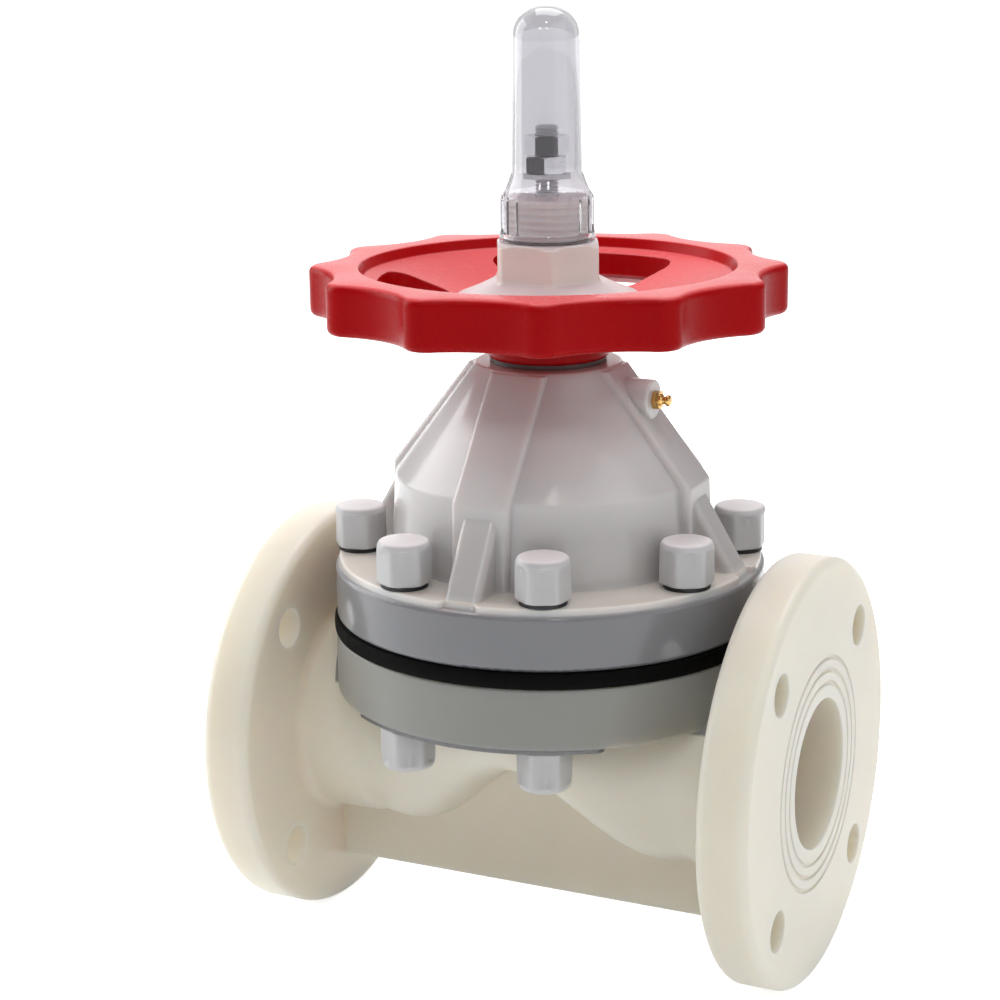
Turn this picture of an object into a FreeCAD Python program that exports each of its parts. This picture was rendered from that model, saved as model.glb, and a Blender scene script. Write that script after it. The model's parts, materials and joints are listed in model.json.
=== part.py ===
import FreeCAD, Part
import math
import os

V = FreeCAD.Vector
UP = V(0, 0, 1)
ORIGIN = V(0, 0, 0)

# Frame: +X along the pipe, +Z up along the stem, origin under the stem at the flanges' lowest line.
# Angles round the stem are counted from -Y towards +X. Lengths are in millimetres.

# Studs between bonnet and body, whose circle sets the flanges round it
stud_circle_r = 82.6
stud_count = 8

# Pipe ends
flange_r = 92.5
flange_t = 22.0
flange_edge_round = 4.0
port_r = 32.5
conduit_wall = 13.5
pipe_bolt_inset = 20.0
pipe_bolt_hole_r = 9.0
pipe_bolt_count = 4
flange_root_round = 5.0
groove_first_r = 39.0
groove_pitch = 5.5
groove_count = 3
groove_depth = 0.8
groove_width = 1.6

# Bowl, weir and web of the body
seat_rise = 52.5
bowl_margin = 11.4
bowl_flange_t = 26.5
bowl_flange_round = 1.5
seat_inset = 13.5
weir_rise = 15.5
weir_land = 3.5
arch_inset = 65.0
arch_drop = 10.5
bowl_half_width = 62.0
bowl_inset = 47.0
rise_inset = 63.0
throat_inset = 51.0
throat_half_width = 46.0
throat_rise = 58.0
web_half_t = 8.0
web_draft = 2.0
web_drop = 72.1
web_edge_round = 3.0

# Diaphragm
diaphragm_t = 7.0
diaphragm_overhang = 0.8
rest_lift = 8.0
hub_boss_r = 15.0
hub_boss_h = 6.0
insert_head_r = 11.0
insert_head_t = 3.0
insert_shank_r = 5.0
insert_shank_h = 20.0
insert_gap = 0.1

# Bonnet
bonnet_margin = 10.9
bonnet_end_gap = 9.5
bonnet_flange_t = 23.5
bonnet_edge_round = 2.0
pad_h = 3.0
pad_inset = 1.6
pad_gap = 13.0
pad_corner = 4.0
skirt_clear = 13.1
skirt_draft = 3.0
skirt_h = 39.0
cone_h = 47.9
cone_top_r = 31.4
shoulder_round = 2.5
bonnet_wall = 10.0
rib_count = 4
rib_w = 26.0
rib_foot_proud = 2.0
rib_waist_proud = 3.5
rib_top_proud = 1.0
rib_bend_round = 4.0
rib_edge_round = 2.5
gusset_w = 16.0
gusset_inset = 4.0
gusset_rise = 33.5
gusset_edge_round = 3.0
top_wall = 17.4
guide_h = 50.0
guide_t = 6.0
guide_reach = 9.0
nipple_drop = 13.7
nipple_boss_r = 8.5
nipple_boss_stand = 7.5
grease_hole_r = 1.6

# Studs, nuts, washers and their caps
stud_r = 6.0
stud_hole_gap = 0.7
nut_flats = 18.0
nut_t = 10.8
stud_stickout = 4.5
washer_r = 9.9
washer_t = 2.5
cap_flats = 20.4
cap_wall_top = 1.8
cap_fit = 0.15
cap_dome = 3.0
cap_h = 16.6
cap_lift = 1.3
insert_r = 9.0
insert_len = 20.0
insert_recess = 0.5
short_stud_grip = 18.0
plate_t = 1.6
plate_inset = 1.2
plate_w = 19.0
plate_half_angle = 38.5

# Stem and drive sleeve
stem_r = 10.0
stem_len = 148.0
running_gap = 0.05
sleeve_r = 17.0
sleeve_drive_r = 15.0
sleeve_flat = 13.0
sleeve_tail_r = 15.5
sleeve_tail = 14.0
sleeve_top_rise = 58.0
collar_r = 24.0
collar_t = 7.0
collar_gap = 0.6
thrust_ring_t = 2.0
seal_r = 1.3
seal_squeeze = 0.1
compressor_gap = 12.5
compressor_h = 7.0
soft_gap = 0.3
compressor_hub_r = 19.0
compressor_hub_h = 26.0
compressor_rib_t = 8.0
lug_w = 14.0
lug_h = 12.0
lug_gap = 0.5
lug_end_gap = 1.5
pin_r = 3.0
pin_drop = 8.0

# Handwheel
wheel_tip_r = 101.8
wheel_valley_share = 0.9155
wheel_lobes = 12
wheel_lobe_share = 0.0884
wheel_tip_angle = 23.0
rim_h = 21.6
rim_edge_round = 3.0
rim_w = 21.3
rim_step = 4.4
web_top_drop = 11.4
wheel_web_t = 10.0
wheel_hub_r = 26.0
wheel_hub_h = 23.6
wheel_seat_r = 42.0
window_count = 3
window_span = 75.0
window_centre = 69.0
window_in_gap = 1.0
window_out_gap = 8.0
window_corner_share = 0.27

# Flanged hex nut that holds the wheel, with the spigot for the gauge cover
hex_disc_r = 39.0
hex_disc_t = 3.0
hex_cone_h = 6.0
hex_flats = 42.4
hex_h = 17.0
hex_chamfer = 3.0
hex_angle = 26.5
spigot_r = 17.9
spigot_h = 18.5
spigot_roof = 6.0

# Clear gauge cover
cover_skirt_r = 19.6
cover_skirt_h = 20.0
cover_shoulder_h = 9.0
cover_tube_r = 15.0
cover_dome_r = 14.2
cover_h = 97.2
cover_wall = 2.0
cover_foot_h = 4.0
cover_foot_r = 20.3
grip_count = 20
grip_r = 1.1
cover_seal_r = 0.6

# Position indicator
rod_r = 5.0
rod_grip = 24.0
rod_tip = 4.1
rod_chamfer = 1.2
stop_nut_flats = 16.0
stop_nut_t = 7.2
stop_nut_upper_t = 8.2
stop_nut_gap = 0.6
stop_nut_lower_angle = 18.0
stop_nut_upper_angle = -6.0
stop_washer_r = 9.9
stop_washer_t = 1.8

# Radii and lengths that follow from the stud circle
bonnet_r = stud_circle_r + bonnet_margin
bowl_flange_r = stud_circle_r + bowl_margin
skirt_foot_r = stud_circle_r - skirt_clear
skirt_top_r = skirt_foot_r - skirt_draft
seat_r = skirt_foot_r - seat_inset
rib_foot_r = skirt_foot_r + rib_foot_proud
rib_waist_r = skirt_top_r + rib_waist_proud
rib_top_r = cone_top_r + rib_top_proud
bonnet_inner_r = skirt_top_r - bonnet_wall
nipple_boss_reach = cone_top_r + (skirt_top_r - cone_top_r) * nipple_drop / cone_h + nipple_boss_stand
compressor_r = bonnet_inner_r - compressor_gap
flange_back = bonnet_r + bonnet_end_gap
half_length = flange_back + flange_t
face_to_face = 2 * half_length
arch_half_span = half_length - arch_inset
bowl_half_length = half_length - bowl_inset
rise_half_span = half_length - rise_inset
throat_half_span = half_length - throat_inset

# Radii that follow from the pipe flange and from the wheel's size
pipe_bolt_circle_r = flange_r - pipe_bolt_inset
conduit_r = port_r + conduit_wall
wheel_valley_r = wheel_tip_r * wheel_valley_share
wheel_lobe_round = wheel_tip_r * wheel_lobe_share
rim_inner_r = wheel_tip_r - rim_w
window_in_r = wheel_seat_r + window_in_gap
window_out_r = rim_inner_r - window_out_gap
window_corner = (window_out_r - window_in_r) * window_corner_share

# Heights that follow from the sizes above
axis_z = flange_r
seat_z = axis_z + seat_rise
bowl_flange_z = seat_z - bowl_flange_t
weir_z = axis_z + weir_rise
clamp_z = seat_z + diaphragm_t
bonnet_flange_z = clamp_z + bonnet_flange_t
pad_z = bonnet_flange_z + pad_h
skirt_z = bonnet_flange_z + skirt_h
bonnet_top = skirt_z + cone_h
collar_z = bonnet_top - top_wall - thrust_ring_t
wheel_foot_z = bonnet_top + thrust_ring_t
wheel_seat_z = wheel_foot_z + wheel_hub_h
hex_z = wheel_seat_z + hex_disc_t + hex_cone_h
hex_top = hex_z + hex_h
spigot_top = hex_top + spigot_h
wheel_top = wheel_seat_z + rim_step + web_top_drop
stop_washer_z = spigot_top + rest_lift
stop_nut_z = stop_washer_z + stop_washer_t
upper_nut_z = stop_nut_z + stop_nut_t + stop_nut_gap
rod_top = upper_nut_z + stop_nut_upper_t + rod_tip
stud_top = pad_z + washer_t + nut_t + stud_stickout
nut_seat_z = bowl_flange_z - plate_t
stud_foot = nut_seat_z - nut_t - stud_stickout

# The diaphragm at rest is a spherical dish whose lowest point is rest_lift over the weir
dish_depth = seat_z - weir_z - rest_lift
dish_r = (seat_r ** 2 + dish_depth ** 2) / (2 * dish_depth)
dish_centre_z = seat_z - dish_depth + dish_r
dish_top_z = dish_centre_z - (dish_r - diaphragm_t)
boss_top_z = dish_top_z + hub_boss_h
compressor_ball_r = dish_r - diaphragm_t - soft_gap
compressor_edge_z = dish_centre_z - math.sqrt(compressor_ball_r ** 2 - compressor_r ** 2)
compressor_top_z = compressor_edge_z + compressor_h
compressor_hub_top = compressor_top_z + compressor_hub_h
stem_foot_z = compressor_top_z + 2.0
stem_top_z = stem_foot_z + stem_len

stud_angles = [(index + 0.5) * 360 / stud_count for index in range(stud_count)]
side_angles = [angle for angle in stud_angles if abs(math.cos(math.radians(angle))) > 0.7]
end_angles = [angle for angle in stud_angles if angle not in side_angles]


def at(radius, angle, z=0.0):
    """Point at an angle round the stem, counted from -Y towards +X."""
    turn = math.radians(angle)
    return V(radius * math.sin(turn), -radius * math.cos(turn), z)


def path(start, *steps):
    """Edges through points of a plane; a step of two points is an arc through the first of them."""
    edges = []
    here = start
    for step in steps:
        if len(step) == 2 and isinstance(step[0], tuple):
            middle, end = step
            edges.append(Part.Arc(plane(here), plane(middle), plane(end)).toShape())
        else:
            end = step
            edges.append(Part.makeLine(plane(here), plane(end)))
        here = end
    if here != start:
        edges.append(Part.makeLine(plane(here), plane(start)))
    return Part.Wire(edges)


def plane(point):
    """A radius and a height as a point of the XZ plane."""
    return V(point[0], 0, point[1])


def turned(start, *steps):
    """Solid turned round the stem axis from an outline of radius and height."""
    solid = Part.Face(path(start, *steps)).revolve(ORIGIN, UP, 360)
    if solid.Volume < 0:
        solid.reverse()
    return solid


def plate(start, thickness, *steps):
    """Plate of an outline of distance from the stem and height, centred on the XZ plane."""
    solid = Part.Face(path(start, *steps)).extrude(V(0, thickness, 0))
    solid.translate(V(0, -thickness / 2, 0))
    return solid


def tube(outer, inner, z, height):
    """Ring or tube round the stem axis."""
    return Part.makeCylinder(outer, height, V(0, 0, z)).cut(Part.makeCylinder(inner, height, V(0, 0, z)))


def hexagon(flats, z, height, angle=0.0):
    """Hexagonal prism on the stem axis with a corner at the angle."""
    corner = flats / math.sqrt(3)
    points = [at(corner, angle + 60 * index, z) for index in range(7)]
    return Part.Face(Part.makePolygon(points)).extrude(V(0, 0, height))


def spun(shape, angle, count=1):
    """Copies of a shape made on the -Y side, turned round the stem."""
    step = 360 / count
    copies = []
    for index in range(count):
        copy = shape.copy()
        copy.rotate(ORIGIN, UP, angle + index * step)
        copies.append(copy)
    return copies


def placed(shape, angles, radius):
    """Copies of a shape made on the stem axis, moved out to the given angles."""
    copies = []
    for angle in angles:
        copy = shape.copy()
        copy.rotate(ORIGIN, UP, angle)
        copy.translate(at(radius, angle))
        copies.append(copy)
    return copies


def edges_where(shape, test):
    """Edges whose middle point passes a test of x, y and z."""
    found = []
    for edge in shape.Edges:
        middle = edge.valueAt((edge.FirstParameter + edge.LastParameter) / 2)
        if test(edge, middle):
            found.append(edge)
    return found


def save(name, shapes):
    """Writes one node; several shapes stay separate solids of a group."""
    shape = shapes if isinstance(shapes, Part.Shape) else Part.makeCompound(shapes)
    shape.exportStep("parts/" + name + ".step")


def section(x, half_width, low, high):
    """Elliptical section across the pipe, from low to high above its axis."""
    scale = FreeCAD.Matrix()
    scale.A22 = half_width
    scale.A33 = (high - low) / 2
    ring = Part.makeCircle(1.0, ORIGIN, V(1, 0, 0)).transformGeometry(scale)
    ring.translate(V(x, 0, axis_z + (high + low) / 2))
    return Part.Wire([ring])


def swell(x, half_span):
    """Smooth rise from 0 at the half span to 1 over the weir."""
    share = min(abs(x) / half_span, 1.0)
    return (1 + math.cos(math.pi * share)) / 2


def stations(half_span, steps):
    """Places along the pipe, the same on both sides of the weir."""
    return [half_span * index / steps for index in range(-steps, steps + 1)]


def conduit():
    """Outside of the waterway: round at the flanges, arched up and widened to a bowl over the weir."""
    rings = []
    for x in stations(bowl_half_length, 6):
        low = -conduit_r + (conduit_r - arch_drop) * swell(x, arch_half_span)
        width = conduit_r + (bowl_half_width - conduit_r) * swell(x, bowl_half_length)
        rings.append(section(x, width, low, conduit_r))
    shape = Part.makeLoft(rings, True)
    for side in (-1, 1):
        reach = half_length - bowl_half_length - flange_t / 2
        start = V(side * bowl_half_length, 0, axis_z)
        shape = shape.fuse(Part.makeCylinder(conduit_r, reach, start, V(side, 0, 0)))
    return shape


def waterway():
    """Inside of the body: both ports rise to the throat, and the bowl's dish leaves the weir's land."""
    rings = []
    for x in stations(throat_half_span, 7):
        climb = weir_rise + weir_land + port_r
        low = -port_r + climb * swell(x, rise_half_span) ** 1.5
        high = port_r + (throat_rise - port_r) * swell(x, throat_half_span)
        width = port_r + (throat_half_width - port_r) * swell(x, throat_half_span)
        rings.append(section(x, width, low, high))
    shape = Part.makeLoft(rings, True)
    for side in (-1, 1):
        start = V(side * throat_half_span, 0, axis_z)
        reach = half_length - throat_half_span + 1
        shape = shape.fuse(Part.makeCylinder(port_r, reach, start, V(side, 0, 0)))
    depth = seat_z - weir_z
    ball_r = (seat_r ** 2 + depth ** 2) / (2 * depth)
    return shape.fuse(Part.makeSphere(ball_r, V(0, 0, weir_z + ball_r)))


def pipe_flange():
    """Flange at one end, turned round the pipe axis, with the rounded root where the conduit leaves."""
    edge = flange_edge_round
    root = flange_root_round
    lean = 1 - math.sqrt(0.5)
    outline = [
        (flange_r - edge, flange_back),
        ((flange_r - edge * lean, flange_back + edge * lean), (flange_r, flange_back + edge)),
        (flange_r, half_length - edge),
        ((flange_r - edge * lean, half_length - edge * lean), (flange_r - edge, half_length)),
        (0, half_length),
        (0, flange_back - root),
        (conduit_r, flange_back - root),
        ((conduit_r + root * lean, flange_back - root * lean), (conduit_r + root, flange_back)),
    ]
    disc = turned(*outline)
    for index in range(groove_count):
        ring_r = groove_first_r + index * groove_pitch
        ring = tube(ring_r + groove_width / 2, ring_r - groove_width / 2, half_length - groove_depth, 1)
        disc = disc.cut(ring)
    for index in range(pipe_bolt_count):
        spot = at(pipe_bolt_circle_r, (index + 0.5) * 360 / pipe_bolt_count, flange_back - 1)
        disc = disc.cut(Part.makeCylinder(pipe_bolt_hole_r, flange_t + 2, spot))
    disc.rotate(ORIGIN, V(0, 1, 0), 90)
    disc.translate(V(0, 0, axis_z))
    return disc


def foot_web():
    """Web under the arch, from flange to flange, with rounded lower edges and draft."""
    foot_z = axis_z - web_drop
    top_z = weir_z
    top = web_half_t + web_draft
    foot = web_half_t
    points = [V(0, foot, foot_z), V(0, top, top_z), V(0, -top, top_z), V(0, -foot, foot_z), V(0, foot, foot_z)]
    web = Part.Face(Part.makePolygon(points)).extrude(V(face_to_face - flange_t, 0, 0))
    web.translate(V(-half_length + flange_t / 2, 0, 0))
    low = edges_where(web, lambda edge, spot: spot.z < foot_z + 0.1 and edge.Length > face_to_face / 2)
    return web.makeFillet(web_edge_round, low)


def bowl_flange():
    """Round flange under the diaphragm, with its edge rounded."""
    disc = Part.makeCylinder(bowl_flange_r, bowl_flange_t, V(0, 0, bowl_flange_z))
    return disc.makeFillet(bowl_flange_round, edges_where(disc, lambda edge, spot: edge.Length > bowl_flange_r * 4))


def stud_holes(angles, radius, z, height):
    """Drills for the studs."""
    return placed(Part.makeCylinder(radius, height, V(0, 0, z)), angles, stud_circle_r)


def body():
    """Body moulding: conduit, bowl flange, web and pipe flanges less the waterway and the stud holes."""
    end = pipe_flange()
    other = end.copy()
    other.rotate(ORIGIN, UP, 180)
    shape = conduit().multiFuse([bowl_flange(), foot_web(), end, other])
    cuts = [waterway()]
    cuts += stud_holes(side_angles, stud_r + stud_hole_gap, bowl_flange_z - 1, bowl_flange_t + 2)
    cuts += stud_holes(end_angles, insert_r, seat_z - insert_recess - insert_len, insert_len + 1)
    return shape.cut(cuts).removeSplitter()


def body_inserts():
    """Threaded metal inserts, moulded in over the conduit where no nut can reach."""
    foot = seat_z - insert_recess - insert_len
    insert = tube(insert_r, stud_r, foot, insert_len)
    return placed(insert, end_angles, stud_circle_r)


def backing_plates():
    """Thin metal plates under the bowl flange that spread the load of the lower nuts."""
    outer = bowl_flange_r - plate_inset
    ring = tube(outer, outer - plate_w, bowl_flange_z - plate_t, plate_t)
    span = [at(0, 0), at(2 * outer, -plate_half_angle), at(2 * outer, plate_half_angle), at(0, 0)]
    wedge = Part.Face(Part.makePolygon(span)).extrude(V(0, 0, bowl_flange_z))
    sector = ring.common(wedge)
    corners = edges_where(sector, lambda edge, spot: abs(edge.Length - plate_t) < 0.01)
    sector = sector.makeFillet(plate_w / 5, corners)
    holes = stud_holes(side_angles, stud_r + stud_hole_gap, nut_seat_z - 1, plate_t + 2)
    return [copy.cut(holes) for copy in spun(sector, 0, 2)]


def diaphragm():
    """Rubber disc: clamped rim with a slightly bulging edge, dished middle, boss over the insert."""
    rim = bowl_flange_r
    upper_r = math.sqrt((dish_r - diaphragm_t) ** 2 - (dish_centre_z - clamp_z) ** 2)
    low = seat_z - dish_depth
    under_turn = math.asin(seat_r / dish_r) / 2
    under = (dish_r * math.sin(under_turn), dish_centre_z - dish_r * math.cos(under_turn))
    over_r = dish_r - diaphragm_t
    over_turn = (math.asin(hub_boss_r / over_r) + math.asin(upper_r / over_r)) / 2
    over = (over_r * math.sin(over_turn), dish_centre_z - over_r * math.cos(over_turn))
    boss_foot = dish_centre_z - math.sqrt(over_r ** 2 - hub_boss_r ** 2)
    shape = turned(
        (0, low), (under, (seat_r, seat_z)), (rim, seat_z),
        ((rim + diaphragm_overhang, seat_z + diaphragm_t / 2), (rim, clamp_z)),
        (upper_r, clamp_z), (over, (hub_boss_r, boss_foot)), (hub_boss_r, boss_top_z), (0, boss_top_z),
    )
    holes = stud_holes(stud_angles, stud_r + stud_hole_gap, seat_z - 1, diaphragm_t + 2)
    return shape.cut(holes).cut(diaphragm_insert(insert_gap))


def diaphragm_insert(grow=0.0):
    """Metal stud in the diaphragm's boss, or with a gap round it the room that it takes there."""
    head_z = dish_top_z - insert_head_t / 2 - grow
    head = Part.makeCylinder(insert_head_r + grow, insert_head_t + 2 * grow, V(0, 0, head_z))
    shank = Part.makeCylinder(insert_shank_r + grow, insert_shank_h, V(0, 0, head_z))
    return head.fuse(shank).removeSplitter()


def cone_offset(z, inwards):
    """Radius of the bonnet's cone at a height, moved in along its normal."""
    slope = (skirt_top_r - cone_top_r) / cone_h
    return skirt_top_r - slope * (z - skirt_z) - inwards * math.sqrt(1 + slope ** 2)


def bonnet_shell():
    """Flange, skirt and cone of the bonnet, turned round the stem."""
    edge = bonnet_edge_round
    shell = turned(
        (0, clamp_z), (bonnet_r, clamp_z), (bonnet_r, bonnet_flange_z), (skirt_foot_r, bonnet_flange_z),
        (skirt_top_r, skirt_z), (cone_top_r, bonnet_top), (0, bonnet_top),
    )
    rims = edges_where(shell, lambda line, spot: abs(line.Length - 2 * math.pi * bonnet_r) < 1)
    shell = shell.makeFillet(edge, rims)
    waist = edges_where(shell, lambda line, spot: abs(spot.z - skirt_z) < 0.1)
    shell = shell.makeFillet(shoulder_round, waist)
    top = edges_where(shell, lambda line, spot: abs(spot.z - bonnet_top) < 0.1)
    return shell.makeFillet(edge / 2, top)


def bonnet_pads():
    """Raised seats for the washers, parted by a gap at each rib."""
    ring = tube(bonnet_r - pad_inset, skirt_top_r, bonnet_flange_z - 1, pad_h + 1)
    slot = Part.makeBox(pad_gap, 2 * bonnet_r, pad_h + 2, V(-pad_gap / 2, -2 * bonnet_r, bonnet_flange_z - 1))
    ring = ring.cut(spun(slot, 0, rib_count))
    corners = edges_where(
        ring, lambda edge, spot: abs(edge.Length - pad_h - 1) < 0.01 and math.hypot(spot.x, spot.y) > stud_circle_r
    )
    ring = ring.makeFillet(pad_corner, corners)
    rims = edges_where(ring, lambda edge, spot: abs(spot.z - pad_z) < 0.01 and math.hypot(spot.x, spot.y) > stud_circle_r)
    return ring.makeFillet(pad_h / 4, rims)


def bonnet_rib():
    """Broad flat rib up the skirt and the cone, with the gusset from its waist to the rim, on the +X side."""
    foot_z = clamp_z + bonnet_flange_t / 2
    inner = cone_top_r - rib_edge_round
    rib = plate(
        (inner, foot_z), rib_w, (rib_foot_r, foot_z), (rib_foot_r, bonnet_flange_z), (rib_waist_r, skirt_z),
        (rib_top_r, bonnet_top - 1), (inner, bonnet_top - 1),
    )
    waist = edges_where(rib, lambda edge, spot: abs(spot.z - skirt_z) < 0.1 and abs(edge.Length - rib_w) < 0.01)
    rib = rib.makeFillet(rib_bend_round, waist)
    rib = rib.makeFillet(rib_edge_round, outer_edges(rib, rib_w, rib_top_r))
    gusset_foot = bonnet_r - gusset_inset
    gusset_top = bonnet_flange_z + gusset_rise
    gusset = plate(
        (inner, foot_z), gusset_w, (gusset_foot, foot_z), (gusset_foot, bonnet_flange_z + 1),
        (rib_waist_r, gusset_top), (inner, gusset_top),
    )
    return rib.fuse(gusset.makeFillet(gusset_edge_round, outer_edges(gusset, gusset_w, rib_waist_r)))


def outer_edges(shape, width, beyond):
    """Long edges of a plate's outer faces above the bonnet's flange."""
    return edges_where(
        shape, lambda edge, spot: abs(abs(spot.y) - width / 2) < 0.01 and spot.x > beyond
        and bonnet_flange_z + 2 < spot.z < bonnet_top - 2
    )


def bonnet_cavity():
    """Room for the compressor, the collar's pocket and the sleeve's bore."""
    ceiling = collar_z - collar_t - thrust_ring_t
    bore_r = sleeve_r + running_gap
    pocket_r = collar_r + collar_gap
    bend = skirt_z - bonnet_wall / 2
    groove_z = bonnet_top - top_wall / 2 + 2 * seal_r
    groove_r = sleeve_r + seal_squeeze + 2 * seal_r + running_gap
    cavity = turned(
        (0, clamp_z - 1), (bonnet_inner_r, clamp_z - 1), (bonnet_inner_r, bend - bonnet_wall / 2),
        (cone_offset(bend + bonnet_wall, bonnet_wall), bend + bonnet_wall),
        (cone_offset(ceiling, bonnet_wall), ceiling), (pocket_r, ceiling), (pocket_r, bonnet_top - top_wall),
        (bore_r, bonnet_top - top_wall), (bore_r, groove_z - seal_r), (groove_r, groove_z - seal_r),
        (groove_r, groove_z + seal_r), (bore_r, groove_z + seal_r), (bore_r, bonnet_top + 1),
        (0, bonnet_top + 1),
    )
    return cavity


def bonnet_guides():
    """Pairs of rails inside the bonnet that keep the compressor's lugs from turning."""
    inner = bonnet_inner_r - guide_reach
    rail = Part.makeBox(guide_reach + 1, guide_t, guide_h, V(inner, lug_w / 2 + lug_gap, clamp_z + 1))
    twin = rail.mirror(ORIGIN, V(0, 1, 0))
    pair = Part.makeCompound([rail, twin])
    return spun(pair, 0, 2)


def nipple_axis_point(reach):
    """Point on the grease nipple's axis, out along +X."""
    return V(reach, 0, bonnet_top - nipple_drop)


def bonnet():
    """Bonnet moulding."""
    ribs = spun(bonnet_rib(), 0, rib_count)
    boss_start = sleeve_r + 2 * bonnet_edge_round
    boss = Part.makeCylinder(nipple_boss_r, nipple_boss_reach - boss_start, nipple_axis_point(boss_start), V(1, 0, 0))
    boss = boss.makeFillet(1.0, edges_where(boss, lambda edge, spot: spot.x > nipple_boss_reach - 0.1))
    shape = bonnet_shell().multiFuse([bonnet_pads(), boss] + ribs)
    shape = shape.cut(bonnet_cavity()).multiFuse(bonnet_guides())
    cuts = stud_holes(stud_angles, stud_r + stud_hole_gap, clamp_z - 1, bonnet_flange_t + pad_h + 2)
    cuts.append(Part.makeCylinder(grease_hole_r, nipple_boss_reach, nipple_axis_point(sleeve_r - 1), V(1, 0, 0)))
    return shape.cut(cuts).removeSplitter()


def grease_nipple():
    """Brass grease nipple screwed into the bonnet's boss."""
    end = nipple_boss_reach
    shank = turned(
        (0, end - 8), (grease_hole_r, end - 8), (grease_hole_r, end), (2.6, end), (2.6, end + 3.4), (1.7, end + 4.2),
        (1.7, end + 5.2), ((2.4, end + 6.2), (1.5, end + 7.4)), (0, end + 7.6),
    )
    nipple = shank.fuse(hexagon(7.0, end, 3.0))
    nipple.rotate(ORIGIN, V(0, 1, 0), 90)
    nipple.translate(V(0, 0, bonnet_top - nipple_drop))
    return nipple


def hex_nut(flats, bore, z, height, corner=0.0):
    """Hexagon nut with both faces chamfered."""
    tip = flats / math.sqrt(3)
    drop = (tip - flats / 2) * 0.6
    cone = turned(
        (bore, z), (tip - drop, z), (tip, z + drop), (tip, z + height - drop), (tip - drop, z + height),
        (bore, z + height),
    )
    return hexagon(flats, z, height, corner).common(cone)


def cap(z, way):
    """Plastic cap over a nut and its stud end; way is 1 upwards and -1 downwards."""
    tip = cap_flats / math.sqrt(3)
    shoulder = cap_h - cap_dome
    dome = turned(
        (0, 0), (tip, 0), (tip * 0.97, shoulder), ((tip * 0.9, cap_h - cap_dome * 0.3), (tip * 0.62, cap_h - 0.2)),
        (0, cap_h),
    )
    prism = hexagon(cap_flats, 0, cap_h)
    prism = prism.makeFillet(cap_flats / 10, edges_where(prism, lambda edge, spot: abs(edge.Length - cap_h) < 0.01))
    shape = prism.common(dome)
    shape = shape.cut(hexagon(nut_flats + 2 * cap_fit, 0, nut_t + cap_fit - cap_lift))
    shape = shape.cut(Part.makeCylinder(stud_r + 2 * cap_fit, cap_h - cap_wall_top, ORIGIN))
    if way < 0:
        shape.rotate(ORIGIN, V(1, 0, 0), 180)
    shape.translate(V(0, 0, z))
    return shape


def stud(low, high):
    """Stud with chamfered ends."""
    tip = stud_r / 6
    return turned(
        (0, low), (stud_r - tip, low), (stud_r, low + tip), (stud_r, high - tip), (stud_r - tip, high), (0, high)
    )


def compressor():
    """Presses the diaphragm: dished foot, hub for the stem, ribs, and two lugs in the bonnet's guides."""
    ball = compressor_ball_r
    half = math.asin(compressor_r / ball) / 2
    bottom = dish_centre_z - ball
    turned_foot = turned(
        (0, bottom), ((ball * math.sin(half), dish_centre_z - ball * math.cos(half)), (compressor_r, compressor_edge_z)),
        (compressor_r, compressor_top_z), (compressor_hub_r, compressor_top_z),
        (compressor_hub_r, compressor_hub_top), (0, compressor_hub_top),
    )
    rim = edges_where(turned_foot, lambda edge, spot: abs(edge.Length - 2 * math.pi * compressor_r) < 1)
    turned_foot = turned_foot.makeFillet(1.5, rim)
    rib = plate(
        (0, compressor_top_z - 1), compressor_rib_t, (compressor_r - 2, compressor_top_z - 1),
        (compressor_r - 2, compressor_top_z), (compressor_hub_r, compressor_hub_top - 3), (0, compressor_hub_top - 3),
    )
    reach = bonnet_inner_r - lug_end_gap
    lug_top = compressor_hub_top - 2
    lug = plate(
        (0, lug_top - lug_h), lug_w, (reach, lug_top - lug_h), (reach, lug_top), (0, lug_top),
    )
    lug = lug.makeFillet(2.0, edges_where(lug, lambda edge, spot: spot.x > reach - 0.1))
    shape = turned_foot.multiFuse(spun(rib, 0, 4) + spun(lug, 0, 2))
    cuts = [
        Part.makeCylinder(stem_r + running_gap, compressor_hub_top, V(0, 0, stem_foot_z)),
        Part.makeCylinder(insert_shank_r + running_gap, insert_shank_h + 2, V(0, 0, dish_top_z - insert_head_t / 2)),
        Part.makeCylinder(hub_boss_r + soft_gap, boss_top_z + soft_gap - bottom + 1, V(0, 0, bottom - 1)),
        pin(),
    ]
    return shape.cut(cuts).removeSplitter()


def pin():
    """Cross pin through the compressor's hub and the stem's foot."""
    length = 2 * compressor_hub_r - 1
    return Part.makeCylinder(pin_r, length, V(0, -length / 2, compressor_hub_top - pin_drop), V(0, 1, 0))


def stem():
    """Stem: screwed in the sleeve, pinned to the compressor, bored for the indicator rod."""
    shape = turned(
        (0, stem_foot_z), (stem_r - 1, stem_foot_z), (stem_r, stem_foot_z + 1), (stem_r, stem_top_z - 1),
        (stem_r - 1, stem_top_z), (0, stem_top_z),
    )
    return shape.cut([Part.makeCylinder(rod_r, rod_grip + 1, V(0, 0, stem_top_z - rod_grip)), pin()])


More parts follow.
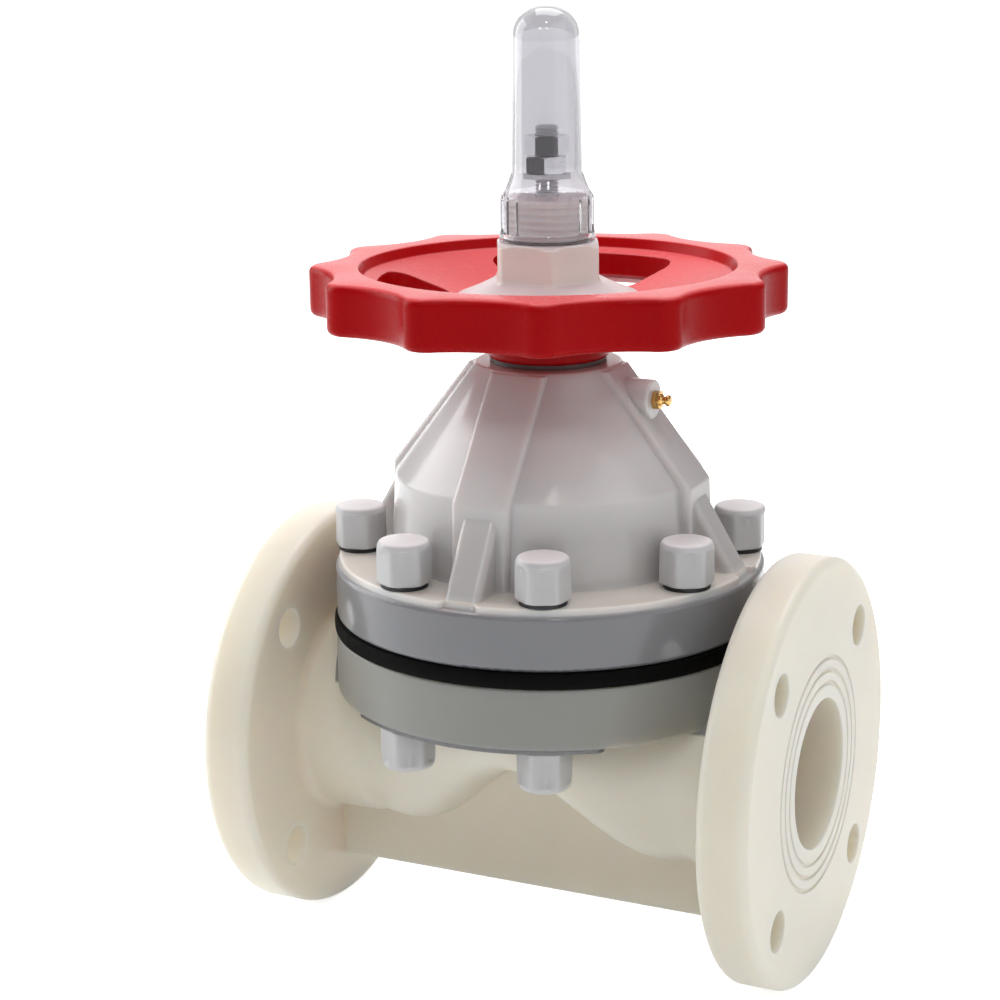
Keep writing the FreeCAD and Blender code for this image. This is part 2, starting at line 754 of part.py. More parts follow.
def sleeve():
    """Sleeve: inner thread for the stem, collar under the thrust ring, flats for the wheel, nut thread on top."""
    foot = collar_z - collar_t - sleeve_tail
    top = wheel_foot_z + sleeve_top_rise
    shape = turned(
        (stem_r + running_gap, foot), (sleeve_tail_r, foot), (sleeve_tail_r, collar_z - collar_t),
        (collar_r, collar_z - collar_t), (collar_r, collar_z), (sleeve_r, collar_z), (sleeve_r, wheel_foot_z),
        (sleeve_drive_r, wheel_foot_z), (sleeve_drive_r, top), (stem_r + running_gap, top),
    )
    for side in (0, 180):
        flat = Part.makeBox(
            sleeve_drive_r, 2 * sleeve_drive_r, wheel_hub_h, V(sleeve_flat, -sleeve_drive_r, wheel_foot_z)
        )
        flat.rotate(ORIGIN, UP, side)
        shape = shape.cut(flat)
    return shape


def sleeve_seal():
    """Ring in the bonnet's groove that seals the sleeve."""
    centre = sleeve_r + seal_squeeze + seal_r
    return Part.makeTorus(centre, seal_r, V(0, 0, bonnet_top - top_wall / 2 + 2 * seal_r))


def wheel_blank():
    """Lobed outline of the wheel: concave scallops between rounded tips that end at the tip radius."""
    step = 360 / wheel_lobes
    half_step = math.radians(step / 2)
    tip_centre = wheel_tip_r - wheel_lobe_round
    over = tip_centre * math.cos(half_step)
    scallop_r = (wheel_lobe_round ** 2 - wheel_valley_r ** 2 - tip_centre ** 2 + 2 * wheel_valley_r * over)
    scallop_r /= 2 * (wheel_valley_r - over - wheel_lobe_round)
    reach = wheel_valley_r + scallop_r
    corner_r = reach * math.cos(half_step) - math.sqrt(scallop_r ** 2 - (reach * math.sin(half_step)) ** 2)
    arcs = []
    for index in range(wheel_lobes):
        start = wheel_tip_angle + index * step
        arcs.append(
            Part.Arc(at(corner_r, start), at(wheel_valley_r, start + step / 2), at(corner_r, start + step)).toShape()
        )
    blank = Part.Face(Part.Wire(arcs)).extrude(V(0, 0, rim_h))
    blank.translate(V(0, 0, wheel_top - rim_h))
    tips = edges_where(blank, lambda edge, spot: abs(edge.Length - rim_h) < 0.01)
    blank = blank.makeFillet(wheel_lobe_round, tips)
    faces = edges_where(blank, lambda edge, spot: min(abs(spot.z - wheel_top), abs(spot.z - wheel_top + rim_h)) < 0.01)
    return blank.makeFillet(rim_edge_round, faces)


def wheel_window():
    """Cutter for one opening of the wheel: a ring sector with rounded corners, centred on -Y."""
    low = wheel_foot_z
    high = wheel_top - low + 1
    ring = tube(window_out_r, window_in_r, low, high)
    half = window_span / 2
    span = [at(0, 0, low), at(3 * window_out_r, -half, low), at(3 * window_out_r, half, low), at(0, 0, low)]
    sector = ring.common(Part.Face(Part.makePolygon(span)).extrude(V(0, 0, high)))
    return sector.makeFillet(window_corner, edges_where(sector, lambda edge, spot: abs(edge.Length - high) < 0.01))


def handwheel():
    """Handwheel: lobed rim, dished web with three openings, hub with a bore that fits the sleeve's flats."""
    web_out_z = wheel_top - rim_step
    under = wheel_web_t
    dish = turned(
        (0, wheel_foot_z), (wheel_hub_r, wheel_foot_z), (wheel_hub_r, wheel_seat_z - under),
        (wheel_seat_r, wheel_seat_z - under), (rim_inner_r + 2, web_out_z - under), (rim_inner_r + 2, web_out_z),
        (rim_inner_r - rim_step / 2, web_out_z), (wheel_seat_r, wheel_seat_z), (0, wheel_seat_z),
    )
    well = turned(
        (0, wheel_foot_z - 1), (rim_inner_r - rim_step, wheel_foot_z - 1), (rim_inner_r - rim_step / 2, web_out_z),
        (rim_inner_r, wheel_top + 0.1), (0, wheel_top + 0.1),
    )
    foot = edges_where(dish, lambda edge, spot: abs(spot.z - wheel_foot_z) < 0.01)
    dish = dish.makeFillet(rim_edge_round / 2, foot)
    shape = wheel_blank().cut(well).fuse(dish)
    shape = shape.cut(spun(wheel_window(), window_centre, window_count))
    bore = Part.makeCylinder(sleeve_drive_r + running_gap, wheel_hub_h + 2, V(0, 0, wheel_foot_z - 1))
    flats = Part.makeBox(
        2 * (sleeve_flat + running_gap), 4 * sleeve_drive_r, wheel_hub_h + 2,
        V(-sleeve_flat - running_gap, -2 * sleeve_drive_r, wheel_foot_z - 1),
    )
    return shape.cut(bore.common(flats)).removeSplitter()


def wheel_nut():
    """Flanged hexagon nut over the wheel, with the spigot for the gauge cover."""
    corner = hex_flats / math.sqrt(3)
    disc = turned(
        (0, wheel_seat_z), (hex_disc_r - 0.5, wheel_seat_z), (hex_disc_r, wheel_seat_z + 0.5),
        (hex_disc_r, wheel_seat_z + hex_disc_t - 0.8), (hex_disc_r - 0.8, wheel_seat_z + hex_disc_t),
        (corner, hex_z), (0, hex_z),
    )
    limit = turned(
        (0, hex_z - hex_cone_h), (corner, hex_z - hex_cone_h), (corner, hex_top - hex_chamfer * 0.6),
        (corner - hex_chamfer, hex_top), (0, hex_top),
    )
    prism = hexagon(hex_flats, hex_z - hex_cone_h, hex_h + hex_cone_h, hex_angle)
    sides = edges_where(prism, lambda edge, spot: abs(edge.Length - hex_h - hex_cone_h) < 0.01)
    prism = prism.makeFillet(1.5, sides).common(limit)
    spigot = turned(
        (0, hex_top - 1), (spigot_r, hex_top - 1), (spigot_r, spigot_top - 1), (spigot_r - 1, spigot_top),
        (0, spigot_top),
    )
    shape = disc.multiFuse([prism, spigot])
    thread = Part.makeCylinder(sleeve_drive_r, spigot_top - spigot_roof - wheel_seat_z, V(0, 0, wheel_seat_z))
    rod_hole = Part.makeCylinder(rod_r + soft_gap, spigot_top, V(0, 0, wheel_seat_z))
    return shape.cut([thread, rod_hole]).removeSplitter()


def gauge_cover():
    """Clear cover: gripped skirt screwed on the spigot, shoulder and slender domed tube."""
    foot = hex_top + 0.2
    skirt_top = foot + cover_skirt_h
    neck_z = skirt_top + cover_shoulder_h
    top = foot + cover_h
    dome_z = top - cover_dome_r
    inner = cover_tube_r - cover_wall
    lean = math.sqrt(0.5)
    outside = turned(
        (0, foot), (cover_foot_r, foot), (cover_foot_r, foot + cover_foot_h),
        (cover_skirt_r, foot + cover_foot_h), (cover_skirt_r, skirt_top), (cover_tube_r, neck_z),
        (cover_dome_r, dome_z),
        ((cover_dome_r * lean, dome_z + cover_dome_r * lean), (0, top)),
    )
    skirt_inner = spigot_r + running_gap
    pocket_r = spigot_r + 2 * cover_seal_r + 2 * running_gap
    lining = cover_dome_r - cover_wall
    inside = turned(
        (0, foot - 1), (pocket_r, foot - 1), (pocket_r, foot + 2.4 * cover_seal_r),
        (skirt_inner, foot + 2.4 * cover_seal_r),
        (skirt_inner, skirt_top - cover_wall / 2), (inner, neck_z - cover_wall / 2), (lining, dome_z),
        ((lining * lean, dome_z + lining * lean), (0, top - cover_wall)),
    )
    grip_foot = at(cover_foot_r - grip_r, 0, foot + cover_foot_h / 2)
    grip = Part.makeCylinder(grip_r, cover_skirt_h - cover_foot_h / 2, grip_foot)
    return outside.multiFuse(spun(grip, 0, grip_count)).cut(inside)


def cover_seal():
    """Ring at the spigot's foot that seals the gauge cover."""
    centre = spigot_r + cover_seal_r + running_gap
    return Part.makeTorus(centre, cover_seal_r, V(0, 0, hex_top + cover_seal_r))


def indicator_rod():
    """Rod screwed into the stem, seen through the gauge cover."""
    low = stem_top_z - rod_grip
    return turned(
        (0, low), (rod_r, low), (rod_r, rod_top - rod_chamfer), (rod_r - rod_chamfer, rod_top), (0, rod_top)
    )


os.makedirs("parts", exist_ok=True)

save("body", body())
save("body_inserts", body_inserts())
save("backing_plates", backing_plates())
save("diaphragm", diaphragm())
save("diaphragm_insert", diaphragm_insert())
save("bonnet", bonnet())
save("grease_nipple", grease_nipple())

short_foot = seat_z - insert_recess - short_stud_grip
save("studs_through", placed(stud(stud_foot, stud_top), side_angles, stud_circle_r))
save("studs_short", placed(stud(short_foot, stud_top), end_angles, stud_circle_r))
save("bonnet_washers", placed(tube(washer_r, stud_r + stud_hole_gap, pad_z, washer_t), stud_angles, stud_circle_r))
upper_nut = hex_nut(nut_flats, stud_r, pad_z + washer_t, nut_t)
save("bonnet_nuts", placed(upper_nut, stud_angles, stud_circle_r))
lower_nut = hex_nut(nut_flats, stud_r, nut_seat_z - nut_t, nut_t)
save("underside_nuts", placed(lower_nut, side_angles, stud_circle_r))
save("bolt_caps", placed(cap(pad_z + washer_t + cap_lift, 1), stud_angles, stud_circle_r))
save("nut_caps", placed(cap(nut_seat_z - cap_lift, -1), side_angles, stud_circle_r))

save("compressor", compressor())
save("compressor_pin", pin())
save("stem", stem())
save("sleeve", sleeve())
save("sleeve_seal", sleeve_seal())
save("thrust_ring_lower", tube(collar_r, sleeve_r + soft_gap, collar_z, thrust_ring_t))
save("thrust_ring_upper", tube(wheel_hub_r - 1, sleeve_r + soft_gap, bonnet_top, thrust_ring_t))

save("handwheel", handwheel())
save("wheel_nut", wheel_nut())
save("gauge_cover", gauge_cover())
save("cover_seal", cover_seal())

save("indicator_rod", indicator_rod())
save("indicator_washer", tube(stop_washer_r, rod_r, stop_washer_z, stop_washer_t))
save("stop_nut_lower", hex_nut(stop_nut_flats, rod_r, stop_nut_z, stop_nut_t, stop_nut_lower_angle))
save("stop_nut_upper", hex_nut(stop_nut_flats, rod_r, upper_nut_z, stop_nut_upper_t, stop_nut_upper_angle))
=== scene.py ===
import bpy
import bmesh
import json
import math
from mathutils import Euler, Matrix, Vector

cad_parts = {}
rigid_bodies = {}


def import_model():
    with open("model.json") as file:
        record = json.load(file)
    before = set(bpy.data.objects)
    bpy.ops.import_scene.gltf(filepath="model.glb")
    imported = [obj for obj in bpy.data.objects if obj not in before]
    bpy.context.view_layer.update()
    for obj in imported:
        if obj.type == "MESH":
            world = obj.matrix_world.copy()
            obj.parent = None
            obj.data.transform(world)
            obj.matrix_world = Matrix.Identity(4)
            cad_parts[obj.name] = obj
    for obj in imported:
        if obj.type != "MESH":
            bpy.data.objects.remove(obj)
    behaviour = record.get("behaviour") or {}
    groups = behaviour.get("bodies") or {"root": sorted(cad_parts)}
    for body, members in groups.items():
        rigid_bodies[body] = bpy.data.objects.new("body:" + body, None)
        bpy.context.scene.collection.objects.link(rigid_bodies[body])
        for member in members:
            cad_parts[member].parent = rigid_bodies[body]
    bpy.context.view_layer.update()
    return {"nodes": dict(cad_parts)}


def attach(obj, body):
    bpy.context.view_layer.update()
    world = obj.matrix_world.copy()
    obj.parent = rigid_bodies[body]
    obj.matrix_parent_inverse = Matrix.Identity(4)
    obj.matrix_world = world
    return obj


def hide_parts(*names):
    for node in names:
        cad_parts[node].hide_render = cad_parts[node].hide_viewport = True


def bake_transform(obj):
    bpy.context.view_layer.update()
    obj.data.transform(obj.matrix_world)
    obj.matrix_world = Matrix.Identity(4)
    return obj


for leftover in list(bpy.data.objects):
    bpy.data.objects.remove(leftover)

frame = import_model()
print("valve frame loaded:", len(frame["nodes"]), "nodes")

mm = 0.001
weld = 0.000002      # points closer than this are one


# Camera, where the photograph was taken from

viewpoint = {
    "place": (0.4190, -0.9197, 0.46256),
    "looks": (-0.41997, 0.87208, -0.2512),
    "roll": -0.75,      # degrees
    "lens": 86.35,
    "sensor": 36,
}


def placeCamera(setup):
    camera = bpy.data.objects.new("photoCamera", bpy.data.cameras.new("photoCamera"))
    bpy.context.scene.collection.objects.link(camera)
    camera.data.lens = setup["lens"]
    camera.data.sensor_width = setup["sensor"]
    turn = Vector(setup["looks"]).to_track_quat("-Z", "Y")
    camera.rotation_mode = "QUATERNION"
    camera.rotation_quaternion = turn @ Euler((0, 0, math.radians(setup["roll"]))).to_quaternion()
    camera.location = setup["place"]
    bpy.context.scene.camera = camera
    print("camera placed")


placeCamera(viewpoint)


# Materials

edgeRubAndShineRange = (0.995, 0.80)      # how far an edge's directions agree where the paler edge (wear and painted highlight) starts, and where it is full
paintedTopLightRange = (0.55, 0.90)      # the same for what faces up, which gets painted light
oneFlat = (0.90, 0.93)      # and for one flat of a nut, which is painted dark as a dark reflection


class Graph:      # any node tree, laid out as it is written
    def __init__(self, tree):
        self.tree, self.nodes, self.links = tree, tree.nodes, tree.links

    def add(self, kind, inputs=None, **settings):
        node = self.nodes.new(kind)
        for key, value in settings.items():
            setattr(node, key, value)
        for key, value in (inputs or {}).items():
            if isinstance(value, bpy.types.NodeSocket):
                self.links.new(value, node.inputs[key])
            else:
                node.inputs[key].default_value = value
        return node

    def sum(self, operation, first, second=0.0, third=0.0):
        return self.add("ShaderNodeMath", {0: first, 1: second, 2: third}, operation=operation).outputs[0]


class Shades(Graph):      # node tree of one material
    def __init__(self, name):
        self.material = bpy.data.materials.new(name)
        self.material.use_nodes = True
        super().__init__(self.material.node_tree)
        self.surface = self.nodes["Principled BSDF"]
        self.output = self.nodes["Material Output"]

    def noise(self, size, detail=2.0, stretch=None):      # size is the patch size in metres
        place = self.add("ShaderNodeTexCoord").outputs["Object"]
        if stretch:
            place = self.add("ShaderNodeMapping", {"Vector": place, "Scale": stretch}).outputs["Vector"]
        grain = self.add("ShaderNodeTexNoise", {"Vector": place, "Scale": 1 / size, "Detail": detail})
        return grain.outputs["Fac"]

    def ramp(self, value, start, full, low, high):      # low at start, high at full
        return self.add("ShaderNodeMapRange", {
            "Value": value, "From Min": start, "From Max": full, "To Min": low, "To Max": high,
        }).outputs["Result"]

    def between(self, factor, low, high):
        if isinstance(low, tuple):
            node = self.add("ShaderNodeMix", {"Factor": factor}, data_type="RGBA")
            node.inputs[6].default_value = (*low, 1)
            node.inputs[7].default_value = (*high, 1)
            return node.outputs[2]
        return self.ramp(factor, 0.0, 1.0, low, high)

    def along(self, first, second):      # how far two directions agree
        both = self.add("ShaderNodeVectorMath", {0: first, 1: second}, operation="DOT_PRODUCT")
        return both.outputs["Value"]

    def distance(self, place):
        return self.add("ShaderNodeVectorMath", {0: place}, operation="LENGTH").outputs["Value"]

    def tinted(self, where, colour, tint):
        node = self.add("ShaderNodeMix", {"Factor": where, 6: colour}, data_type="RGBA")
        node.inputs[7].default_value = (*tint, 1)
        return node.outputs[2]

    def feed(self, **inputs):
        names = {key.replace("_", " ").title(): value for key, value in inputs.items()}
        names = {key.replace("Ior", "IOR"): value for key, value in names.items()}
        for key, value in names.items():
            socket = self.surface.inputs[key]
            if isinstance(value, bpy.types.NodeSocket):
                self.links.new(value, socket)
            else:
                socket.default_value = value

    def band(self, colour, low, full, fade, high, reach, tint, share):      # tint between two heights
        place = self.add("ShaderNodeTexCoord").outputs["Object"]
        height = self.add("ShaderNodeSeparateXYZ", {0: place}).outputs["Z"]
        rise = self.ramp(height, low, full, 0.0, share)
        fall = self.ramp(height, high, fade, 0.0, 1.0)
        flat = self.add("ShaderNodeVectorMath", {0: place, 1: (1, 1, 0)}, operation="MULTIPLY").outputs[0]
        near = self.sum("LESS_THAN", self.distance(flat), reach)
        where = self.sum("MULTIPLY", self.sum("MULTIPLY", rise, fall), near)
        return self.tinted(where, colour, tint)

    def turnedTo(self, colour, way, start, full, tint, share):      # tint on faces that point one way
        facing = self.along(self.add("ShaderNodeNewGeometry").outputs["Normal"], way)
        return self.tinted(self.ramp(facing, start, full, 0.0, share), colour, tint)

    def rubbed(self, colour, pale, edge, share):      # edges paler, where the skin is thin and handled, and a painted highlight along each edge
        turned = self.add("ShaderNodeBevel", {"Radius": edge}, samples=4).outputs["Normal"]
        facing = self.along(turned, self.add("ShaderNodeNewGeometry").outputs["Normal"])
        return self.tinted(self.ramp(facing, *edgeRubAndShineRange, 0.0, share), colour, pale)

    def skin(self, fine, coarse, height, edge=0.0):      # fine grain over slow waves, soft edges
        first = {"Height": self.noise(coarse, 1.0), "Distance": height * 8, "Strength": 0.35}
        if edge:
            first["Normal"] = self.add("ShaderNodeBevel", {"Radius": edge}, samples=4).outputs["Normal"]
        slow = self.add("ShaderNodeBump", first)
        quick = self.add("ShaderNodeBump", {
            "Height": self.noise(fine), "Distance": height, "Strength": 0.5,
            "Normal": slow.outputs["Normal"],
        })
        self.feed(normal=quick.outputs["Normal"])


# A band, seat or skirt is low, full, fade, high and reach in metres, then tint and share. On the mouldings
# they are painted shade and painted light, not colours of the plastic

plasticLooks = {
    "creamMoulding": {
        "pale": (0.85, 0.815, 0.72), "deep": (0.77, 0.73, 0.62), "patch": 0.045,
        "gloss": (0.34, 0.46), "glow": 0.75, "depth": (0.020, 0.016, 0.011), "edge": 0.0012,
        "edgeRubAndShine": (0.90, 0.88, 0.82), "edgeRubAndShineShare": 0.35,
        # painted shade: the bowl flange darkened and greyed as it looks in shade
        "band": (0.1165, 0.1175, 0.16, 0.161, 0.0960, (0.25, 0.255, 0.24), 0.9),
    },
    "greyMoulding": {
        "pale": (0.66, 0.65, 0.645), "deep": (0.59, 0.58, 0.575), "patch": 0.035,
        "gloss": (0.13, 0.22), "glow": 0.6, "depth": (0.010, 0.007, 0.006), "edge": 0.0010,
        "edgeRubAndShine": (0.80, 0.79, 0.78), "edgeRubAndShineShare": 0.5,
        # painted shade: the bonnet flange side darker and bluer
        "band": (0.1500, 0.1510, 0.1748, 0.1760, 0.1, (0.18, 0.184, 0.20), 0.9),
        # painted light: the bolt pads' tops paler and warmer, as lit and reflecting the red wheel
        "seat": (0.1765, 0.1782, 0.1786, 0.1788, 0.1, (0.78, 0.735, 0.67), 0.95),
        # painted shade: the skirt darker
        "skirt": (0.1790, 0.1810, 0.200, 0.214, 0.1, (0.48, 0.465, 0.455), 0.6),
    },
    "capMoulding": {
        "pale": (0.62, 0.62, 0.625), "deep": (0.54, 0.54, 0.545), "patch": 0.012,
        "gloss": (0.30, 0.42), "glow": 0.6, "depth": (0.004, 0.004, 0.004), "edge": 0.0007,
        "edgeRubAndShine": (0.90, 0.90, 0.90), "edgeRubAndShineShare": 0.8, "upper": ((0.88, 0.855, 0.86), 0.9),
    },
    "nutMoulding": {
        "pale": (0.78, 0.73, 0.69), "deep": (0.70, 0.64, 0.60), "patch": 0.025,
        "gloss": (0.30, 0.40), "glow": 0.5, "depth": (0.007, 0.005, 0.004), "edge": 0.0008,
        "edgeRubAndShine": (0.95, 0.93, 0.91), "edgeRubAndShineShare": 0.9, "upper": ((0.62, 0.48, 0.50), 0.8),
    },
    # painted shade: the thrust rings near-black, standing for the shadow in the gap under the hub
    "ringMoulding": {
        "pale": (0.12, 0.10, 0.095), "deep": (0.08, 0.07, 0.065), "patch": 0.02,
        "gloss": (0.35, 0.5), "glow": 0.0, "depth": (0.001, 0.001, 0.001), "edge": 0.0005,
        "edgeRubAndShine": (0.2, 0.18, 0.17), "edgeRubAndShineShare": 0.4,
    },
    "wheelMoulding": {
        "pale": (0.44, 0.003, 0.005), "deep": (0.35, 0.002, 0.003), "patch": 0.04,
        "gloss": (0.22, 0.32), "glow": 0.08, "depth": (0.004, 0.0006, 0.0006), "edge": 0.0010,
        "edgeRubAndShine": (0.95, 0.24, 0.26), "edgeRubAndShineShare": 0.7, "shine": 0.07, "upper": ((0.68, 0.10, 0.105), 0.9),
    },
}


def mouldedPlastic(name, looks):
    shades = Shades(name)
    mottle = shades.noise(looks["patch"], 3.0)
    colour = shades.between(mottle, looks["deep"], looks["pale"])
    # the bands below paint shade and light between heights
    for where in ("band", "seat", "skirt"):
        if where in looks:
            colour = shades.band(colour, *looks[where])
    if "upper" in looks:      # painted light on what faces up: a top tint standing for light and reflection from above
        colour = shades.turnedTo(colour, (0, 0, 1), *paintedTopLightRange, *looks["upper"])
    shades.feed(
        base_color=shades.rubbed(colour, looks["edgeRubAndShine"], looks["edge"], looks["edgeRubAndShineShare"]),
        roughness=shades.between(shades.noise(looks["patch"] / 4, 4.0), *looks["gloss"]),
        subsurface_weight=looks["glow"], subsurface_radius=looks["depth"], subsurface_scale=1.0, ior=1.49,
        specular_ior_level=looks.get("shine", 0.5),
    )
    shades.skin(fine=0.0006, coarse=0.02, height=0.00002, edge=looks["edge"])
    return shades.material


paintedDarkReflection = (0.03, 0.03, 0.035)
stopLooks = {"pale": (0.97, 0.97, 0.98), "deep": (0.80, 0.80, 0.82), "gloss": (0.14, 0.26), "metal": 1.0}
metalLooks = {
    "zincSteel": {
        "pale": (0.62, 0.62, 0.64), "deep": (0.45, 0.45, 0.47), "gloss": (0.22, 0.42), "metal": 1.0,
    },
    "blackedSteel": {
        "pale": (0.05, 0.05, 0.055), "deep": (0.02, 0.02, 0.022), "gloss": (0.35, 0.55), "metal": 0.8,
    },
    "dullSteel": {
        "pale": (0.20, 0.20, 0.20), "deep": (0.10, 0.10, 0.105), "gloss": (0.4, 0.6), "metal": 1.0,
    },
    "turnedBrass": {
        "pale": (0.80, 0.52, 0.20), "deep": (0.60, 0.36, 0.11), "gloss": (0.14, 0.30), "metal": 1.0,
    },
    "paintedIron": {
        "pale": (0.06, 0.06, 0.065), "deep": (0.035, 0.035, 0.04), "gloss": (0.45, 0.65), "metal": 0.2,
    },
    "lowerStop": {**stopLooks, "darkReflectionFlat": -10},      # degrees from -Y to the flat painted as a dark reflection
    "upperStop": {**stopLooks, "darkReflectionFlat": 40},
}


def workedMetal(name, looks):
    shades = Shades(name)
    marks = shades.noise(0.004, 5.0, (1, 1, 6))
    colour = shades.between(marks, looks["deep"], looks["pale"])
    if "darkReflectionFlat" in looks:      # one flat painted dark, a painted dark reflection
        angle = math.radians(looks["darkReflectionFlat"])
        colour = shades.turnedTo(colour, (math.sin(angle), -math.cos(angle), 0), *oneFlat, paintedDarkReflection, 0.95)
    shades.feed(
        base_color=colour, metallic=looks["metal"],
        roughness=shades.between(shades.noise(0.0015, 3.0), *looks["gloss"]),
    )
    shades.skin(fine=0.0004, coarse=0.006, height=0.00001, edge=0.0003)
    return shades.material


def blackRubber():
    shades = Shades("blackRubber")
    dust = shades.noise(0.01, 5.0)
    shades.feed(
        base_color=shades.between(dust, (0.001, 0.001, 0.001), (0.004, 0.004, 0.004)),
        roughness=shades.between(shades.noise(0.003, 4.0), 0.5, 0.75), specular_ior_level=0.05,
    )
    shades.skin(fine=0.0005, coarse=0.01, height=0.00004)
    return shades.material


def clearPlastic():
    shades = Shades("clearPlastic")
    haze = shades.noise(0.02, 4.0)
    colour = shades.between(haze, (0.86, 0.84, 0.88), (0.92, 0.91, 0.935))
    colour = shades.band(colour, 0.338, 0.346, 0.5, 0.6, 0.1, (0.70, 0.695, 0.72), 0.9)      # greyer tube
    shades.feed(
        base_color=colour,
        roughness=shades.between(haze, 0.01, 0.05), transmission_weight=0.95, ior=1.47,
    )
    shades.skin(fine=0.004, coarse=0.02, height=0.00002)
    return shades.material


plastics = {name: mouldedPlastic(name, looks) for name, looks in plasticLooks.items()}
metals = {name: workedMetal(name, looks) for name, looks in metalLooks.items()}
rubber = blackRubber()
clear = clearPlastic()

nodeFinishes = {
    "body": plastics["creamMoulding"], "bonnet": plastics["greyMoulding"],
    "bolt_caps": plastics["capMoulding"], "nut_caps": plastics["capMoulding"],
    "wheel_nut": plastics["nutMoulding"], "handwheel": plastics["wheelMoulding"],
    "thrust_ring_lower": plastics["ringMoulding"], "thrust_ring_upper": plastics["ringMoulding"],
    "gauge_cover": clear, "diaphragm": rubber, "sleeve_seal": rubber, "cover_seal": rubber,
    "body_inserts": metals["turnedBrass"], "grease_nipple": metals["turnedBrass"],
    "sleeve": metals["turnedBrass"], "compressor": metals["paintedIron"],
    "bonnet_washers": metals["blackedSteel"], "backing_plates": metals["dullSteel"],
    "stop_nut_lower": metals["lowerStop"], "stop_nut_upper": metals["upperStop"],
}

for name, part in frame["nodes"].items():
    finish = nodeFinishes.get(name, metals["zincSteel"])
    for place in range(len(part.data.materials)):
        part.material_slots[place].material = finish
print("materials on", len(frame["nodes"]), "nodes")


# Shapes that are turned round the stem

def softCorners(corners, steps=5):      # profile of (radius, height, share, rounding) corners, rounded
    found = []
    count = len(corners)
    for place, corner in enumerate(corners):
        radius, height, share, rounding = corner
        before, after = corners[place - 1], corners[(place + 1) % count]
        here = Vector((radius, height))
        back, ahead = Vector(before[:2]) - here, Vector(after[:2]) - here
        if not rounding or back.length == 0 or ahead.length == 0 or place in (0, count - 1):
            found.append((radius, height, share))
            continue
        back.normalize()
        ahead.normalize()
        half = back.angle(ahead) / 2
        reach = rounding / math.tan(half)
        first, last = here + back * reach, here + ahead * reach
        middle = here + (back + ahead).normalized() * (rounding / math.sin(half))
        for step in range(steps + 1):
            spot = first.lerp(last, step / steps) - middle
            spot = middle + spot.normalized() * rounding
            found.append((spot.x, spot.y, share))
    return found


class Form(Graph):      # geometry tree with named inputs for its sizes
    def __init__(self, name, sizes):
        super().__init__(bpy.data.node_groups.new(name, "GeometryNodeTree"))
        self.tree.interface.new_socket("Profile", in_out="INPUT", socket_type="NodeSocketGeometry")
        for label, value in sizes.items():
            kind = "NodeSocketInt" if isinstance(value, int) else "NodeSocketFloat"
            self.tree.interface.new_socket(label, in_out="INPUT", socket_type=kind).default_value = value
        self.tree.interface.new_socket("Finish", in_out="INPUT", socket_type="NodeSocketMaterial")
        self.tree.interface.new_socket("Shape", in_out="OUTPUT", socket_type="NodeSocketGeometry")
        self.given = self.nodes.new("NodeGroupInput").outputs
        self.result = self.nodes.new("NodeGroupOutput").inputs["Shape"]

    def finished(self, shape):
        real = self.add("GeometryNodeRealizeInstances", {"Geometry": shape})
        merged = self.add("GeometryNodeMergeByDistance", {
            "Geometry": real.outputs[0], "Distance": 2 * weld,
        })
        smooth = self.add("GeometryNodeSetShadeSmooth", {"Geometry": merged.outputs[0]})
        coated = self.add("GeometryNodeSetMaterial", {
            "Geometry": smooth.outputs[0], "Material": self.given["Finish"],
        })
        self.links.new(coated.outputs[0], self.result)
        return self.tree

    def turned(self, reach):      # profile carried round the stem, at the radius that reach gives
        counted = self.add("GeometryNodeAttributeDomainSize", {"Geometry": self.given["Profile"]})
        rows = counted.outputs["Point Count"]
        grid = self.add("GeometryNodeMeshGrid", {
            "Size X": 1.0, "Size Y": 1.0, "Vertices X": self.given["Around"], "Vertices Y": rows,
        })
        place = self.add("GeometryNodeInputPosition").outputs[0]
        place = self.add("ShaderNodeSeparateXYZ", {0: place}).outputs
        turn = self.sum("MULTIPLY", self.sum("ADD", place["X"], 0.5), math.tau)
        row = self.sum("MULTIPLY", self.sum("ADD", place["Y"], 0.5), self.sum("SUBTRACT", rows, 1.0))
        spot = self.add("GeometryNodeSampleIndex", {
            "Geometry": self.given["Profile"], "Value": self.add("GeometryNodeInputPosition").outputs[0],
            "Index": self.sum("ROUND", row),
        }, data_type="FLOAT_VECTOR")
        spot = self.add("ShaderNodeSeparateXYZ", {0: spot.outputs[0]}).outputs
        radius = reach(self, turn, spot["Z"], spot["X"], spot["Y"])
        placed = self.add("ShaderNodeCombineXYZ", {
            "X": self.sum("MULTIPLY", radius, self.sum("SINE", turn)),
            "Y": self.sum("MULTIPLY", radius, self.sum("MULTIPLY", self.sum("COSINE", turn), -1.0)),
            "Z": spot["Z"],
        })
        return self.add("GeometryNodeSetPosition", {
            "Geometry": grid.outputs["Mesh"], "Position": placed.outputs[0],
        }).outputs[0]


def standing(name, mesh):      # object with this mesh, at the origin
    piece = bpy.data.objects.new(name, mesh)
    bpy.context.scene.collection.objects.link(piece)
    return piece


def cutWith(piece, tools, name, finish, crease):      # a new piece, the tools cut out of the old one
    for index, tool in enumerate(tools):
        cut = piece.modifiers.new("cut" + str(index), "BOOLEAN")
        cut.object, cut.operation, cut.solver = tool, "DIFFERENCE", "EXACT"
    mesh = bpy.data.meshes.new_from_object(piece.evaluated_get(bpy.context.evaluated_depsgraph_get()))
    for helper in tools + [piece]:
        bpy.data.objects.remove(helper)
    mesh.materials.clear()
    mesh.materials.append(finish)
    return keepShape(name, mesh, crease)


